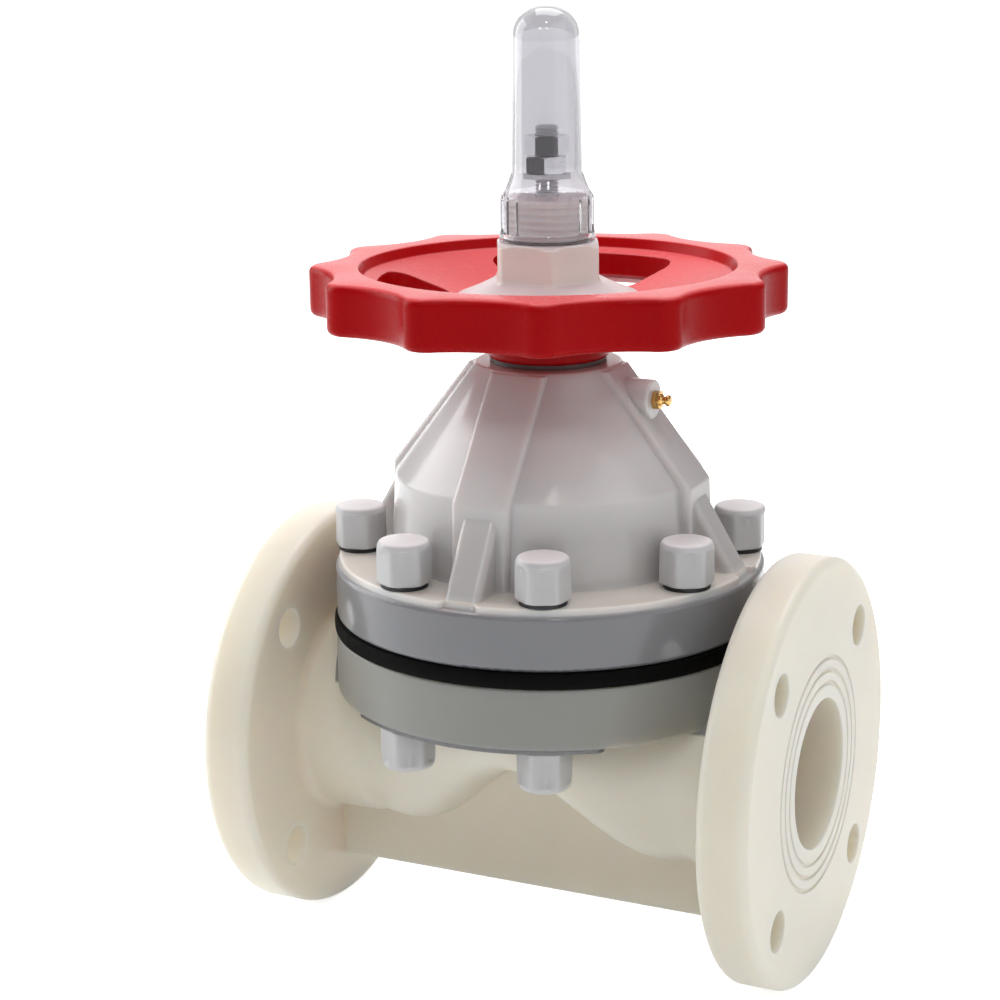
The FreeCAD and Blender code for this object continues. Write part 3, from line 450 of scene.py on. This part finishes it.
def keepShape(name, mesh, crease=35):      # finished mesh as an object, faces out, hard edges kept
    work = bmesh.new()
    work.from_mesh(mesh)
    bmesh.ops.remove_doubles(work, verts=work.verts, dist=weld)
    bmesh.ops.dissolve_degenerate(work, edges=work.edges, dist=weld / 2)
    bmesh.ops.recalc_face_normals(work, faces=work.faces)
    work.to_mesh(mesh)
    work.free()
    mesh.shade_smooth()
    mesh.set_sharp_from_angle(angle=math.radians(crease))
    return standing(name, mesh)


def grown(name, tree, profile, sizes, finish, crease=35):      # profile rows: radius, height, share
    line = bpy.data.meshes.new(name + "Profile")
    line.from_pydata([(r * mm, share, z * mm) for r, z, share in profile],
                     [(place, place + 1) for place in range(len(profile) - 1)], [])
    seed = standing(name + "Seed", line)
    growth = seed.modifiers.new("growth", "NODES")
    growth.node_group = tree
    sockets = {item.name: item.identifier for item in tree.interface.items_tree if item.in_out == "INPUT"}
    for label, value in sizes.items():
        growth[sockets[label]] = value
    growth[sockets["Finish"]] = finish
    mesh = bpy.data.meshes.new_from_object(seed.evaluated_get(bpy.context.evaluated_depsgraph_get()))
    mesh.name = name
    bpy.data.objects.remove(seed)
    return keepShape(name, mesh, crease)


def fit(piece, body, slot, *nodes):
    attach(piece, body)
    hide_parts(*nodes)
    print("  made", piece.name, len(piece.data.polygons), "faces")


# Handwheel

def lobedReach(form, turn, height, radius, share):      # round tips that run into hollow scallops
    given = form.given
    step = form.sum("DIVIDE", math.tau, given["Lobes"])
    away = form.sum("SUBTRACT", turn, given["First tip"])
    away = form.sum("WRAP", away, form.sum("MULTIPLY", step, 0.5), form.sum("MULTIPLY", step, -0.5))
    away = form.sum("ABSOLUTE", away)
    tip = form.sum("SUBTRACT", given["Tip radius"], given["Tip round"])
    aside = form.sum("POWER", form.sum("MULTIPLY", tip, form.sum("SINE", away)), 2.0)
    bow = form.sum("MAXIMUM", form.sum("SUBTRACT", form.sum("POWER", given["Tip round"], 2.0), aside), 0.0)
    bow = form.sum("SQRT", bow)
    nearTip = form.sum("ADD", form.sum("MULTIPLY", tip, form.sum("COSINE", away)), bow)
    inner = form.sum("SUBTRACT", form.sum("MULTIPLY", step, 0.5), away)
    centre = form.sum("ADD", given["Valley radius"], given["Scallop radius"])
    aside = form.sum("POWER", form.sum("MULTIPLY", centre, form.sum("SINE", inner)), 2.0)
    sag = form.sum("SQRT", form.sum("SUBTRACT", form.sum("POWER", given["Scallop radius"], 2.0), aside))
    nearValley = form.sum("SUBTRACT", form.sum("MULTIPLY", centre, form.sum("COSINE", inner)), sag)
    onTip = form.sum("LESS_THAN", away, given["Tip half angle"])
    chosen = form.add("ShaderNodeMix", {0: onTip, 2: nearValley, 3: nearTip}).outputs[0]
    return form.sum("ADD", radius, form.sum("MULTIPLY", chosen, share))


wheelShape = {
    "lobes": 12, "tip": 101.8, "valley": 93.2, "tipRound": 9.0, "firstTip": 23.0,
    "top": 303.8, "bottom": 282.2, "edge": 3.0, "wellRadius": 80.5, "step": 4.4,
    "seatRadius": 42.0, "seat": 288.0, "webThick": 10.0, "hubRadius": 26.0, "foot": 264.4,
    "bore": 15.05, "relief": 4.8,
    "windows": 3, "firstWindow": 69.0, "windowSpan": 75.0, "windowIn": 43.0, "windowOut": 72.5,
    "windowCorner": 8.0, "windowRun": 0.94,      # share of the span that isn't corner
    "beyond": 110,      # keeps the lobed wall outside all else while corners are rounded
}


def wheelProfile(shape):
    ledge = shape["top"] - shape["step"]
    under = shape["seat"] - shape["webThick"]
    rimFoot = shape["wellRadius"] - shape["step"] * 0.8
    slope = (ledge - shape["seat"]) / (shape["wellRadius"] - shape["step"] / 2 - shape["seatRadius"])
    loop = [
        (shape["bore"], shape["seat"], 0, 0),
        (shape["seatRadius"], shape["seat"], 0, 3),
        (shape["wellRadius"] - shape["step"] / 2, ledge, 0, 1.2),
        (shape["wellRadius"], shape["top"], 0, 0.9),
        (0, shape["top"], 1, 0),
        (0, shape["bottom"], 1, 0),
        (rimFoot + shape["relief"] * 2, shape["bottom"], 0, 2.0),
        (rimFoot, shape["bottom"] + shape["relief"], 0, 2.0),
        (rimFoot + 0.6, under + slope * (rimFoot - shape["seatRadius"]) + 0.4, 0, 2),
        (shape["seatRadius"], under, 0, 3),
        (shape["hubRadius"], under, 0, 3),
        (shape["hubRadius"], shape["foot"], 0, 1.5),
        (shape["bore"], shape["foot"], 0, 0),
        (shape["bore"], shape["seat"], 0, 0),
    ]
    beyond, edge = shape["beyond"], shape["edge"]
    wall = shape["top"] - shape["bottom"] - 2 * edge
    outside = [(r + beyond * share, z, share, rounding) for r, z, share, rounding in loop]
    profile = [(r - beyond * share, z, share) for r, z, share in softCorners(outside)]
    rounded = []
    for r, z, share in profile:      # the lobed wall's two edges
        if share and z == shape["top"]:
            for step in range(7):
                bend = math.radians(15 * step)
                rounded.append((edge * (math.sin(bend) - 1), z - edge * (1 - math.cos(bend)), 1))
            for step in range(1, 8):
                rounded.append((0, z - edge - step * wall / 8, 1))
        elif share and z == shape["bottom"]:
            for step in range(7):
                bend = math.radians(15 * step)
                rounded.append((edge * (math.cos(bend) - 1), z + edge * (1 - math.sin(bend)), 1))
        else:
            rounded.append((r, z, share))
    return rounded


def sectorPost(angle, shape):      # cutter for one window: ring sector with rounded corners
    half = math.radians(shape["windowSpan"] / 2)
    inner, outer, corner = shape["windowIn"], shape["windowOut"], shape["windowCorner"]
    outline = []
    for radius, side, ways in ((outer, 1, 1), (outer, -1, 1), (inner, -1, -1), (inner, 1, -1)):
        centre = radius - corner * ways
        lean = half - math.asin(corner / centre)
        spot = Vector((centre * math.sin(lean) * side, centre * math.cos(lean)))
        away = Vector((math.sin(lean) * side, math.cos(lean))) * ways
        edge = Vector((math.cos(half) * side, -math.sin(half)))
        arc = [(away.lerp(edge, step / 8)).normalized() * corner + spot for step in range(9)]
        outline += arc if (side > 0) == (ways < 0) else arc[::-1]
        if side * ways > 0:
            reach = lean * shape["windowRun"]
            for step in range(25):
                bend = side * (reach - 2 * reach * step / 24)
                outline.append(Vector((radius * math.sin(bend), radius * math.cos(bend))))
    turn = math.radians(angle)
    post = bmesh.new()
    rings = []
    for z in (shape["foot"] - 4, shape["top"] + 4):
        ring = []
        for spot in outline:
            x = spot.x * math.cos(turn) + spot.y * math.sin(turn)
            y = spot.x * math.sin(turn) - spot.y * math.cos(turn)
            ring.append(post.verts.new((x * mm, y * mm, z * mm)))
        rings.append(ring)
    post.faces.new(rings[0])
    post.faces.new(rings[1][::-1])
    for place in range(len(outline)):
        post.faces.new((rings[0][place - 1], rings[0][place], rings[1][place], rings[1][place - 1]))
    bmesh.ops.remove_doubles(post, verts=post.verts, dist=weld)
    bmesh.ops.recalc_face_normals(post, faces=post.faces)
    mesh = bpy.data.meshes.new("windowPost")
    post.to_mesh(mesh)
    post.free()
    return standing("windowPost", mesh)


def makeWheel(shape):
    valley, tipRound = shape["valley"], shape["tipRound"]
    half = math.pi / shape["lobes"]
    tipCentre = shape["tip"] - tipRound
    over = tipCentre * math.cos(half)
    scallop = tipRound ** 2 - valley ** 2 - tipCentre ** 2 + 2 * valley * over
    scallop /= 2 * (valley - over - tipRound)
    far = Vector(((valley + scallop) * math.cos(half), (valley + scallop) * math.sin(half)))
    near = Vector((tipCentre, 0))
    touch = near + (far - near).normalized() * tipRound
    sizes = {
        "Around": 721, "Lobes": shape["lobes"], "First tip": math.radians(shape["firstTip"]),
        "Tip radius": shape["tip"] * mm, "Tip round": tipRound * mm, "Valley radius": valley * mm,
        "Scallop radius": scallop * mm, "Tip half angle": math.atan2(touch.y, touch.x),
    }
    form = Form("lobedWheel", sizes)
    tree = form.finished(form.turned(lobedReach))
    wheel = grown("handwheelBlank", tree, wheelProfile(shape), sizes, plastics["wheelMoulding"])
    posts = [sectorPost(shape["firstWindow"] + index * 360 / shape["windows"], shape)
             for index in range(shape["windows"])]
    wheel = cutWith(wheel, posts, "lobedHandwheel", plastics["wheelMoulding"], 32)
    fit(wheel, "drive", "red_plastic", "handwheel")


makeWheel(wheelShape)


# Hexagonal pieces: caps, the nuts under them, the wheel nut

noHex = 9.0      # share at which the profile's own radius holds
wide = 99.0      # radius at which the hexagon holds


def hexReach(form, turn, height, radius, share):      # rounded hexagon, or the profile where smaller
    given = form.given
    away = form.sum("WRAP", turn, math.pi / 3, 0.0)
    away = form.sum("SUBTRACT", away, math.pi / 6)
    side = form.sum("DIVIDE", form.sum("MULTIPLY", given["Flats"], 0.5), form.sum("COSINE", away))
    side = form.sum("SMOOTH_MIN", side, given["Corner radius"], given["Corner softness"])
    side = form.sum("MULTIPLY", side, share)
    return form.sum("MINIMUM", side, radius)


def copiedForm(name, reach, sizes):      # a turned form at each point of the given object
    form = Form(name, sizes)
    form.tree.interface.new_socket("Spots", in_out="INPUT", socket_type="NodeSocketObject")
    single = form.turned(reach)
    spots = form.add("GeometryNodeObjectInfo", {"Object": form.given["Spots"]}).outputs["Geometry"]
    twist = form.add("GeometryNodeInputNamedAttribute", {"Name": "twist"}, data_type="FLOAT").outputs[0]
    lean = form.add("ShaderNodeCombineXYZ", {"Z": twist}).outputs[0]
    lean = form.add("FunctionNodeEulerToRotation", {0: lean}).outputs[0]
    copies = form.add("GeometryNodeInstanceOnPoints", {
        "Points": spots, "Instance": single, "Rotation": lean,
    })
    return form.finished(copies.outputs[0])


hexTree = copiedForm("hexForm", hexReach, {
    "Around": 121, "Flats": 0.02, "Corner radius": 0.011, "Corner softness": 0.0005,
})


def spotsRound(name, places):      # a vertex for each radius, angle from -Y, height and twist
    mesh = bpy.data.meshes.new(name)
    mesh.from_pydata([(r * mm * math.sin(math.radians(a)), -r * mm * math.cos(math.radians(a)), z * mm)
                      for r, a, z, twist in places], [], [])
    lean = mesh.attributes.new("twist", "FLOAT", "POINT")
    for item, place in zip(lean.data, places):
        item.value = math.radians(place[3])
    return standing(name, mesh)


boltSizes = {
    "circle": 82.6, "capBase": 180.4, "lowCapBase": 116.8, "nutBase": 181.0, "lowNutTop": 116.9,
    "flats": 20.5, "corner": 11.5, "softness": 0.3, "height": 18.5, "lowHeight": 17.8,
    "dome": 9.1, "domeFall": 0.5, "edgeStart": 8.6, "edgeWide": 2.55, "edgeFall": 2.6,
    "wall": 1.8, "pocket": 7.0, "pocketRadius": 9.9, "studRadius": 6.3,
    "nutFlats": 18.0, "nutHeight": 10.8, "nutCorner": 10.4, "nutFace": 9.4, "nutSoftness": 0.1,
    "bore": 6.0,
    "twists": {22.5: 55.5, -22.5: -0.5, 67.5: 59.5, 112.5: 130.0, 157.5: 171.0, 202.5: 214.0, 247.5: 240.0,
               292.5: 281.0},
}


def makeCaps(sizes):
    high = sizes["height"]
    ceiling, pocketTop = high - sizes["wall"], high - sizes["pocket"]
    pocket, stud = sizes["pocketRadius"], sizes["studRadius"]
    cap = [(0.0, high, noHex)]
    for step in range(1, 6):      # low dome
        z = high - sizes["domeFall"] * (step / 6) ** 2
        cap.append((sizes["dome"] * math.sin(math.radians(7.5 * step)), z, noHex))
    for step in range(6, 13):      # that runs out into a rounded edge
        bend = math.radians(15 * step - 90)
        z = high - sizes["domeFall"] - sizes["edgeFall"] * (1 - math.cos(bend))
        cap.append((sizes["edgeStart"] + sizes["edgeWide"] * math.sin(bend) ** 0.8, z, noHex))
    cap += [
        (wide, high - 4.6, 0.985), (wide, 8.0, 0.995), (wide, 1.0, 1.0), (wide, 0.35, 0.995),
        (10.6, 0.0, 0.985), (pocket, 0.0, 0.90), (pocket, pocketTop, 0.90), (stud, pocketTop, noHex),
        (stud, ceiling, noHex), (0.0, ceiling, noHex),
    ]
    bore, tall, face, corner = sizes["bore"], sizes["nutHeight"], sizes["nutFace"], sizes["nutCorner"]
    nut = [
        (bore, 0.0, noHex), (face, 0.0, noHex), (corner, 0.6, 1.0), (corner, tall - 0.6, 1.0),
        (face, tall, noHex), (bore, tall, noHex), (bore, 0.0, noHex),
    ]
    looks = plastics["capMoulding"], "white_plastic"
    caps = (cap, sizes["flats"], sizes["corner"], sizes["softness"], *looks)
    looks = metals["zincSteel"], "steel"
    nuts = (nut, sizes["nutFlats"], corner, sizes["nutSoftness"], *looks)
    every = list(sizes["twists"])
    through = [angle for angle in every if abs(math.cos(math.radians(angle))) > 0.7]      # front and rear
    runs = [
        ("boltCaps", "bolt_caps", caps, sizes["capBase"], every, 1),
        ("underCaps", "nut_caps", caps, sizes["lowCapBase"], through, -sizes["lowHeight"] / high),
        ("upperNuts", "bonnet_nuts", nuts, sizes["nutBase"], every, 1),
        ("lowerNuts", "underside_nuts", nuts, sizes["lowNutTop"], through, -1),
    ]
    for name, node, (line, flats, corner, softness, finish, slot), base, angles, way in runs:
        places = [(sizes["circle"], angle, base, sizes["twists"][angle]) for angle in angles]
        spots = spotsRound(name + "Spots", places)
        made = grown(name, hexTree, [(r, way * z, share) for r, z, share in line], {
            "Around": 121, "Flats": flats * mm, "Corner radius": corner * mm,
            "Corner softness": softness * mm, "Spots": spots,
        }, finish)
        bpy.data.objects.remove(spots)
        fit(made, "valve_body", slot, node)


makeCaps(boltSizes)

wheelNutSizes = {
    "foot": 288.0, "discRadius": 39.0, "discThick": 3.0, "coneTop": 297.0, "flats": 42.4,
    "cornerRadius": 23.9, "softness": 0.6, "turn": 26.5, "top": 314.0, "spigotRadius": 17.9,
    "spigotTop": 332.45,
    "pitch": 3.0, "threadDepth": 0.9, "bore": 15.0, "boreTop": 326.5, "rodHole": 5.3,
}


def makeWheelNut(sizes):
    foot, top, bore, cone = sizes["foot"], sizes["top"], sizes["bore"], sizes["coneTop"]
    rim, discTop = sizes["discRadius"], foot + sizes["discThick"]
    profile = [
        (bore, foot, noHex), (rim - 0.5, foot, noHex), (rim, foot + 0.5, noHex),
        (rim, discTop - 0.9, noHex), (rim - 0.3, discTop - 0.3, noHex), (rim - 1.0, discTop, noHex),
        (32.0, foot + 5.4, noHex), (26.4, foot + 8.0, noHex), (24.9, cone - 0.2, noHex),
        (24.3, cone + 0.7, 1.03), (wide, cone + 2.2, 1.0), (wide, top - 2.6, 1.0), (23.6, top - 1.6, 1.0),
        (22.3, top - 0.6, 1.0), (21.0, top - 0.12, 1.0), (19.6, top, noHex),
        (sizes["spigotRadius"] - 0.9, top, noHex), (bore, top, noHex), (bore, foot, noHex),
    ]
    spots = spotsRound("nutSpot", [(0.0, 0.0, 0.0, sizes["turn"])])
    nut = grown("wheelNutHex", hexTree, profile, {
        "Around": 241, "Flats": sizes["flats"] * mm, "Corner radius": sizes["cornerRadius"] * mm,
        "Corner softness": sizes["softness"] * mm, "Spots": spots,
    }, plastics["nutMoulding"], 28)
    bpy.data.objects.remove(spots)
    fit(nut, "drive", "white_plastic", "wheel_nut")


makeWheelNut(wheelNutSizes)


# Threads: the cover's spigot and the indicator rod

crest, steepness = 0.12, 1.3      # flat share of a crest, and how fast its flanks fall


def threadReach(form, turn, height, radius, share):      # crest at the profile's radius, root further in
    given = form.given
    lead = form.sum("ADD", form.sum("DIVIDE", height, given["Pitch"]), form.sum("DIVIDE", turn, math.tau))
    wave = form.sum("PINGPONG", form.sum("MULTIPLY", lead, 2.0), 1.0)
    wave = form.sum("MAXIMUM", form.sum("SUBTRACT", wave, crest), 0.0)
    wave = form.sum("MINIMUM", form.sum("MULTIPLY", wave, steepness), 1.0)
    cut = form.sum("MULTIPLY", form.sum("MULTIPLY", wave, given["Depth"]), share)
    return form.sum("SUBTRACT", radius, cut)


threadTree = Form("helixThread", {"Around": 97, "Pitch": 0.002, "Depth": 0.0005})
threadTree = threadTree.finished(threadTree.turned(threadReach))


def threadRows(radius, low, high, rows, runOut):      # profile rows along a thread, fading at both ends
    line = []
    for row in range(rows + 1):
        z = low + (high - low) * row / rows
        line.append((radius, z, max(0.0, min(1.0, (z - low) / runOut, (high - z) / runOut))))
    return line


def makeSpigot(sizes):
    top, radius, bore = sizes["spigotTop"], sizes["spigotRadius"], sizes["bore"]
    foot = sizes["top"] - 0.6
    profile = [(bore, foot, 0), (radius - 0.8, foot, 0), (radius - 0.8, sizes["top"] + 0.5, 0)]
    profile += threadRows(radius, sizes["top"] + 0.9, top - 1.4, rows=72, runOut=1.5)
    profile += [
        (radius - 0.4, top - 0.5, 0), (radius - 1.2, top, 0), (sizes["rodHole"], top, 0),
        (sizes["rodHole"], sizes["boreTop"], 0), (bore, sizes["boreTop"], 0), (bore, foot, 0),
    ]
    spigot = grown("threadedSpigot", threadTree, profile, {
        "Around": 145, "Pitch": sizes["pitch"] * mm, "Depth": sizes["threadDepth"] * mm,
    }, plastics["nutMoulding"])
    fit(spigot, "drive", "white_plastic", "wheel_nut")


makeSpigot(wheelNutSizes)

rodSizes = {"radius": 5.0, "low": 274.9, "top": 362.4, "pitch": 1.5, "depth": 0.75, "threadLow": 333.5}


def makeRod(sizes):
    radius, low, top, threadLow = sizes["radius"], sizes["low"], sizes["top"], sizes["threadLow"]
    profile = [(0, low, 0), (radius - 0.8, low, 0), (radius, low + 0.8, 0), (radius, threadLow - 0.3, 0)]
    profile += threadRows(radius, threadLow, top - 1.0, rows=150, runOut=0.8)
    profile += [(radius - 1.0, top - 0.15, 0), (radius - 1.4, top, 0), (0, top, 0)]
    rod = grown("indicatorThread", threadTree, profile, {
        "Around": 73, "Pitch": sizes["pitch"] * mm, "Depth": sizes["depth"] * mm,
    }, metals["zincSteel"])
    fit(rod, "stem_group", "steel", "indicator_rod")


makeRod(rodSizes)


# Clear gauge cover

def grippedReach(form, turn, height, radius, share):      # narrow upright ribs on the skirt
    given = form.given
    step = form.sum("DIVIDE", math.tau, given["Ribs"])
    away = form.sum("WRAP", turn, form.sum("MULTIPLY", step, 0.5), form.sum("MULTIPLY", step, -0.5))
    away = form.sum("DIVIDE", form.sum("MULTIPLY", away, radius), given["Rib half width"])
    rise = form.sum("SUBTRACT", 1.0, form.sum("MULTIPLY", away, away))
    rise = form.sum("SQRT", form.sum("MAXIMUM", rise, 0.0))
    rise = form.sum("MULTIPLY", form.sum("MULTIPLY", rise, given["Rib height"]), share)
    return form.sum("ADD", radius, rise)


coverSizes = {
    "foot": 314.2, "height": 97.2, "footRadius": 20.3, "footHeight": 3.6, "skirtRadius": 19.1,
    "skirtHeight": 20.0, "shoulder": 9.0, "tubeRadius": 15.0, "domeRadius": 14.2, "wall": 2.0,
    "fullness": 2.25, "boreRadius": 17.98, "sealPocket": 19.25, "pocketHeight": 1.5,
    "ribs": 20, "ribHeight": 0.85, "ribHalfWidth": 0.95,
}


def makeCover(sizes):
    foot, skirtTop = sizes["foot"], sizes["foot"] + sizes["skirtHeight"]
    footTop, skirt, footRadius = foot + sizes["footHeight"], sizes["skirtRadius"], sizes["footRadius"]
    neck, tube, inner = skirtTop + sizes["shoulder"], sizes["tubeRadius"], sizes["wall"]
    bore, pocket, pocketTop = sizes["boreRadius"], sizes["sealPocket"], foot + sizes["pocketHeight"]
    outer = [(pocket, foot, 0), (footRadius - 0.4, foot, 0), (footRadius, foot + 0.4, 0),
             (footRadius, footTop - 0.5, 0), (footRadius - 0.35, footTop, 0)]
    for step in range(9):      # ribbed skirt, the ribs running out at the top
        z = footTop + 0.05 + (skirtTop - 1.2 - footTop) * step / 8
        outer.append((skirt, z, 1.0 if step < 8 else 0.55))
    outer += [(skirt - 0.1, skirtTop - 0.5, 0), (skirt - 0.5, skirtTop + 0.3, 0)]
    for step in range(1, 9):      # shoulder
        part = step / 8
        outer.append((skirt - 0.5 + (tube - skirt + 0.5) * part,
                      skirtTop + 0.3 + (neck - skirtTop - 0.3) * part ** 1.25, 0))
    radius, fullness = sizes["domeRadius"], sizes["fullness"]
    domeFoot = foot + sizes["height"] - radius
    dome, lining = [], []
    for step in range(15):
        bend = math.sin(math.radians(90 * (step / 14)))
        across = (1 - bend ** fullness) ** (1 / fullness) if step < 14 else 0.0
        dome.append((radius * across, domeFoot + radius * bend, 0))
        lining.append(((radius - inner) * across, domeFoot + (radius - inner) * bend, 0))
    lining = lining[::-1] + [
        (tube - inner, neck - 0.5, 0), (tube - inner + 0.6, neck - 1.8, 0), (bore - 0.6, skirtTop + 0.2, 0),
        (bore, skirtTop - 0.8, 0), (bore, pocketTop, 0), (pocket, pocketTop, 0), (pocket, foot, 0),
    ]
    values = {
        "Around": 361, "Ribs": sizes["ribs"], "Rib height": sizes["ribHeight"] * mm,
        "Rib half width": sizes["ribHalfWidth"] * mm,
    }
    form = Form("grippedCover", values)
    tree = form.finished(form.turned(grippedReach))
    cover = grown("clearCover", tree, outer + dome + lining, values, clear, 38)
    fit(cover, "drive", "clear_plastic", "gauge_cover")


makeCover(coverSizes)


# Rubber: the diaphragm and the two sealing rings

rubberSizes = {
    "seat": 145.0, "clamp": 152.0, "seatRadius": 56.0, "rim": 94.0, "bulge": 0.8, "dishRadius": 68.57,
    "dishLow": 116.0, "thick": 7.0, "bossRadius": 15.0, "bossTop": 129.0, "headRadius": 11.1,
    "headLow": 121.4, "headHigh": 124.6, "shankRadius": 5.1, "upperRadius": 52.25,
    "studCircle": 82.6, "studHole": 6.7, "studs": 8, "punch": 20.0,      # length of a hole's cutter
    "flatRows": (62.0, 78.0),      # radii on the clamped ring
    "rings": [("sleeveRing", 18.4, 256.3, 1.3, "valve_body", "sleeve_seal"),
              ("coverRing", 18.55, 314.6, 0.6, "drive", "cover_seal")],
}


def plainReach(form, turn, height, radius, share):
    return radius


def makeRubber(sizes):
    form = Form("plainTurning", {"Around": 193})
    tree = form.finished(form.turned(plainReach))
    seat, clamp, rim, dish = sizes["seat"], sizes["clamp"], sizes["rim"], sizes["dishRadius"]
    centre = sizes["dishLow"] + dish
    under = math.asin(sizes["seatRadius"] / dish)
    profile = []
    for step in range(29):      # underside of the dish
        bend = under * step / 28
        profile.append((dish * math.sin(bend), centre - dish * math.cos(bend), 0))
    inside, outside = sizes["flatRows"]
    profile += [(inside, seat, 0), (outside, seat, 0), (rim - 1.0, seat, 0)]
    middle, half = (seat + clamp) / 2, (clamp - seat) / 2
    for step in range(9):      # squeezed edge
        bend = math.radians(-90 + 22.5 * step)
        swell = (sizes["bulge"] + 0.5) * math.cos(bend) ** 0.6 if 0 < step < 8 else 0.0
        profile.append((rim - 0.5 + swell, middle + half * math.sin(bend), 0))
    profile += [(outside, clamp, 0), (inside, clamp, 0)]
    over = dish - sizes["thick"]
    boss, bossTop = sizes["bossRadius"], sizes["bossTop"]
    shank, head = sizes["shankRadius"], sizes["headRadius"]
    outerTurn, innerTurn = math.asin(sizes["upperRadius"] / over), math.asin(boss / over)
    for step in range(21):
        bend = outerTurn + (innerTurn - outerTurn) * step / 20
        profile.append((over * math.sin(bend), centre - over * math.cos(bend), 0))
    profile += [(boss, bossTop - 1.0, 0), (boss - 1.0, bossTop, 0), (shank, bossTop, 0),
                (shank, sizes["headHigh"], 0), (head, sizes["headHigh"], 0), (head, sizes["headLow"], 0),
                (0.0, sizes["headLow"], 0)]
    disc = grown("rubberDisc", tree, profile, {"Around": 193}, rubber)
    holes = []
    circle = sizes["studCircle"] * mm
    for index in range(sizes["studs"]):
        turn = math.radians((index + 0.5) * 360 / sizes["studs"])
        bpy.ops.mesh.primitive_cylinder_add(
            vertices=40, radius=sizes["studHole"] * mm, depth=sizes["punch"] * mm,
            location=(circle * math.sin(turn), -circle * math.cos(turn), middle * mm),
        )
        holes.append(bpy.context.object)
    disc = cutWith(disc, holes, "rubberDiaphragm", rubber, 40)
    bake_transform(disc)
    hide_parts("diaphragm")
    print("  made", disc.name, len(disc.data.polygons), "faces")
    for name, radius, height, thick, body, node in sizes["rings"]:
        bends = [math.radians(15 * step) for step in range(25)]
        loop = [(radius + thick * math.cos(bend), height + thick * math.sin(bend), 0) for bend in bends]
        fit(grown(name, tree, loop, {"Around": 145}, rubber), body, "black_rubber", node)


makeRubber(rubberSizes)


# Floor and light

studio = {
    "floor": (0.93, 0.93, 0.93), "fibre": 0.985, "floorReach": 30.0,
    "floorLift": 0.72, "lifted": (0.8, 3.0),      # between these distances the floor turns white
    "roomLight": 0.29, "roomTint": (0.97, 0.98, 1.0),
    "lamps": [      # place, size, power
        ((-1.3, -0.15, 0.75), 1.0, 11.5),
        ((1.3, -0.35, 0.90), 1.4, 5.0),
        ((-0.1, 0.45, 1.5), 1.0, 15.0),
        ((-0.75, 1.45, 0.75), 1.2, 5.0),
        ((0.30, -0.58, 1.32), 0.12, 0.9),
        ((0.46, -0.86, 1.02), 0.12, 0.9),
        ((0.02, -0.98, 1.02), 0.12, 0.7),
    ],
    "aim": (0.0, 0.0, 0.2),
}


def lightStudio(setup):
    mesh = bpy.data.meshes.new("paleFloor")
    reach = setup["floorReach"]
    mesh.from_pydata([(-reach, -reach, 0), (reach, -reach, 0), (reach, reach, 0), (-reach, reach, 0)], [],
                     [(0, 1, 2, 3)])
    floor = standing("paleFloor", mesh)
    paper = Shades("floorPaper")
    fibre = paper.noise(0.003, 3.0)
    low = tuple(value * setup["fibre"] for value in setup["floor"])
    paper.feed(
        base_color=paper.between(fibre, low, setup["floor"]), roughness=paper.between(fibre, 0.8, 0.95),
    )
    rays = paper.add("ShaderNodeLightPath").outputs
    seen = paper.sum("MAXIMUM", rays["Is Camera Ray"], rays["Is Glossy Ray"])
    seen = paper.sum("MAXIMUM", seen, rays["Is Transmission Ray"])
    away = paper.distance(paper.add("ShaderNodeTexCoord").outputs["Object"])
    lift = paper.sum("MULTIPLY", seen, paper.ramp(away, *setup["lifted"], setup["floorLift"], 1.0))
    glow = paper.add("ShaderNodeEmission", {"Color": (1, 1, 1, 1), "Strength": lift})
    both = paper.add("ShaderNodeAddShader", {0: paper.surface.outputs[0], 1: glow.outputs[0]})
    paper.links.new(both.outputs[0], paper.output.inputs["Surface"])
    mesh.materials.append(paper.material)

    world = bpy.data.worlds.new("studioRoom")
    bpy.context.scene.world = world
    world.use_nodes = True
    room = Graph(world.node_tree)
    dim = room.nodes["Background"]
    dim.inputs["Color"].default_value = (*setup["roomTint"], 1)
    dim.inputs["Strength"].default_value = setup["roomLight"]
    white = room.add("ShaderNodeBackground", {"Color": (1, 1, 1, 1), "Strength": 1.0})
    rays = room.add("ShaderNodeLightPath").outputs
    seen = room.sum("MAXIMUM", rays["Is Camera Ray"], rays["Is Transmission Ray"])
    choice = room.add("ShaderNodeMixShader", {0: seen, 1: dim.outputs[0], 2: white.outputs[0]})
    room.links.new(choice.outputs[0], room.nodes["World Output"].inputs["Surface"])

    for index, (place, size, power) in enumerate(setup["lamps"]):
        lamp = bpy.data.lights.new("softLamp" + str(index), "AREA")
        lamp.energy = power
        lamp.size = size
        holder = bpy.data.objects.new("softLamp" + str(index), lamp)
        bpy.context.scene.collection.objects.link(holder)
        holder.location = place
        holder.rotation_euler = (Vector(setup["aim"]) - Vector(place)).to_track_quat("-Z", "Y").to_euler()
        holder.visible_camera = holder.visible_transmission = False
    print("studio lit")


lightStudio(studio)
bpy.context.scene.view_settings.view_transform = "Standard"
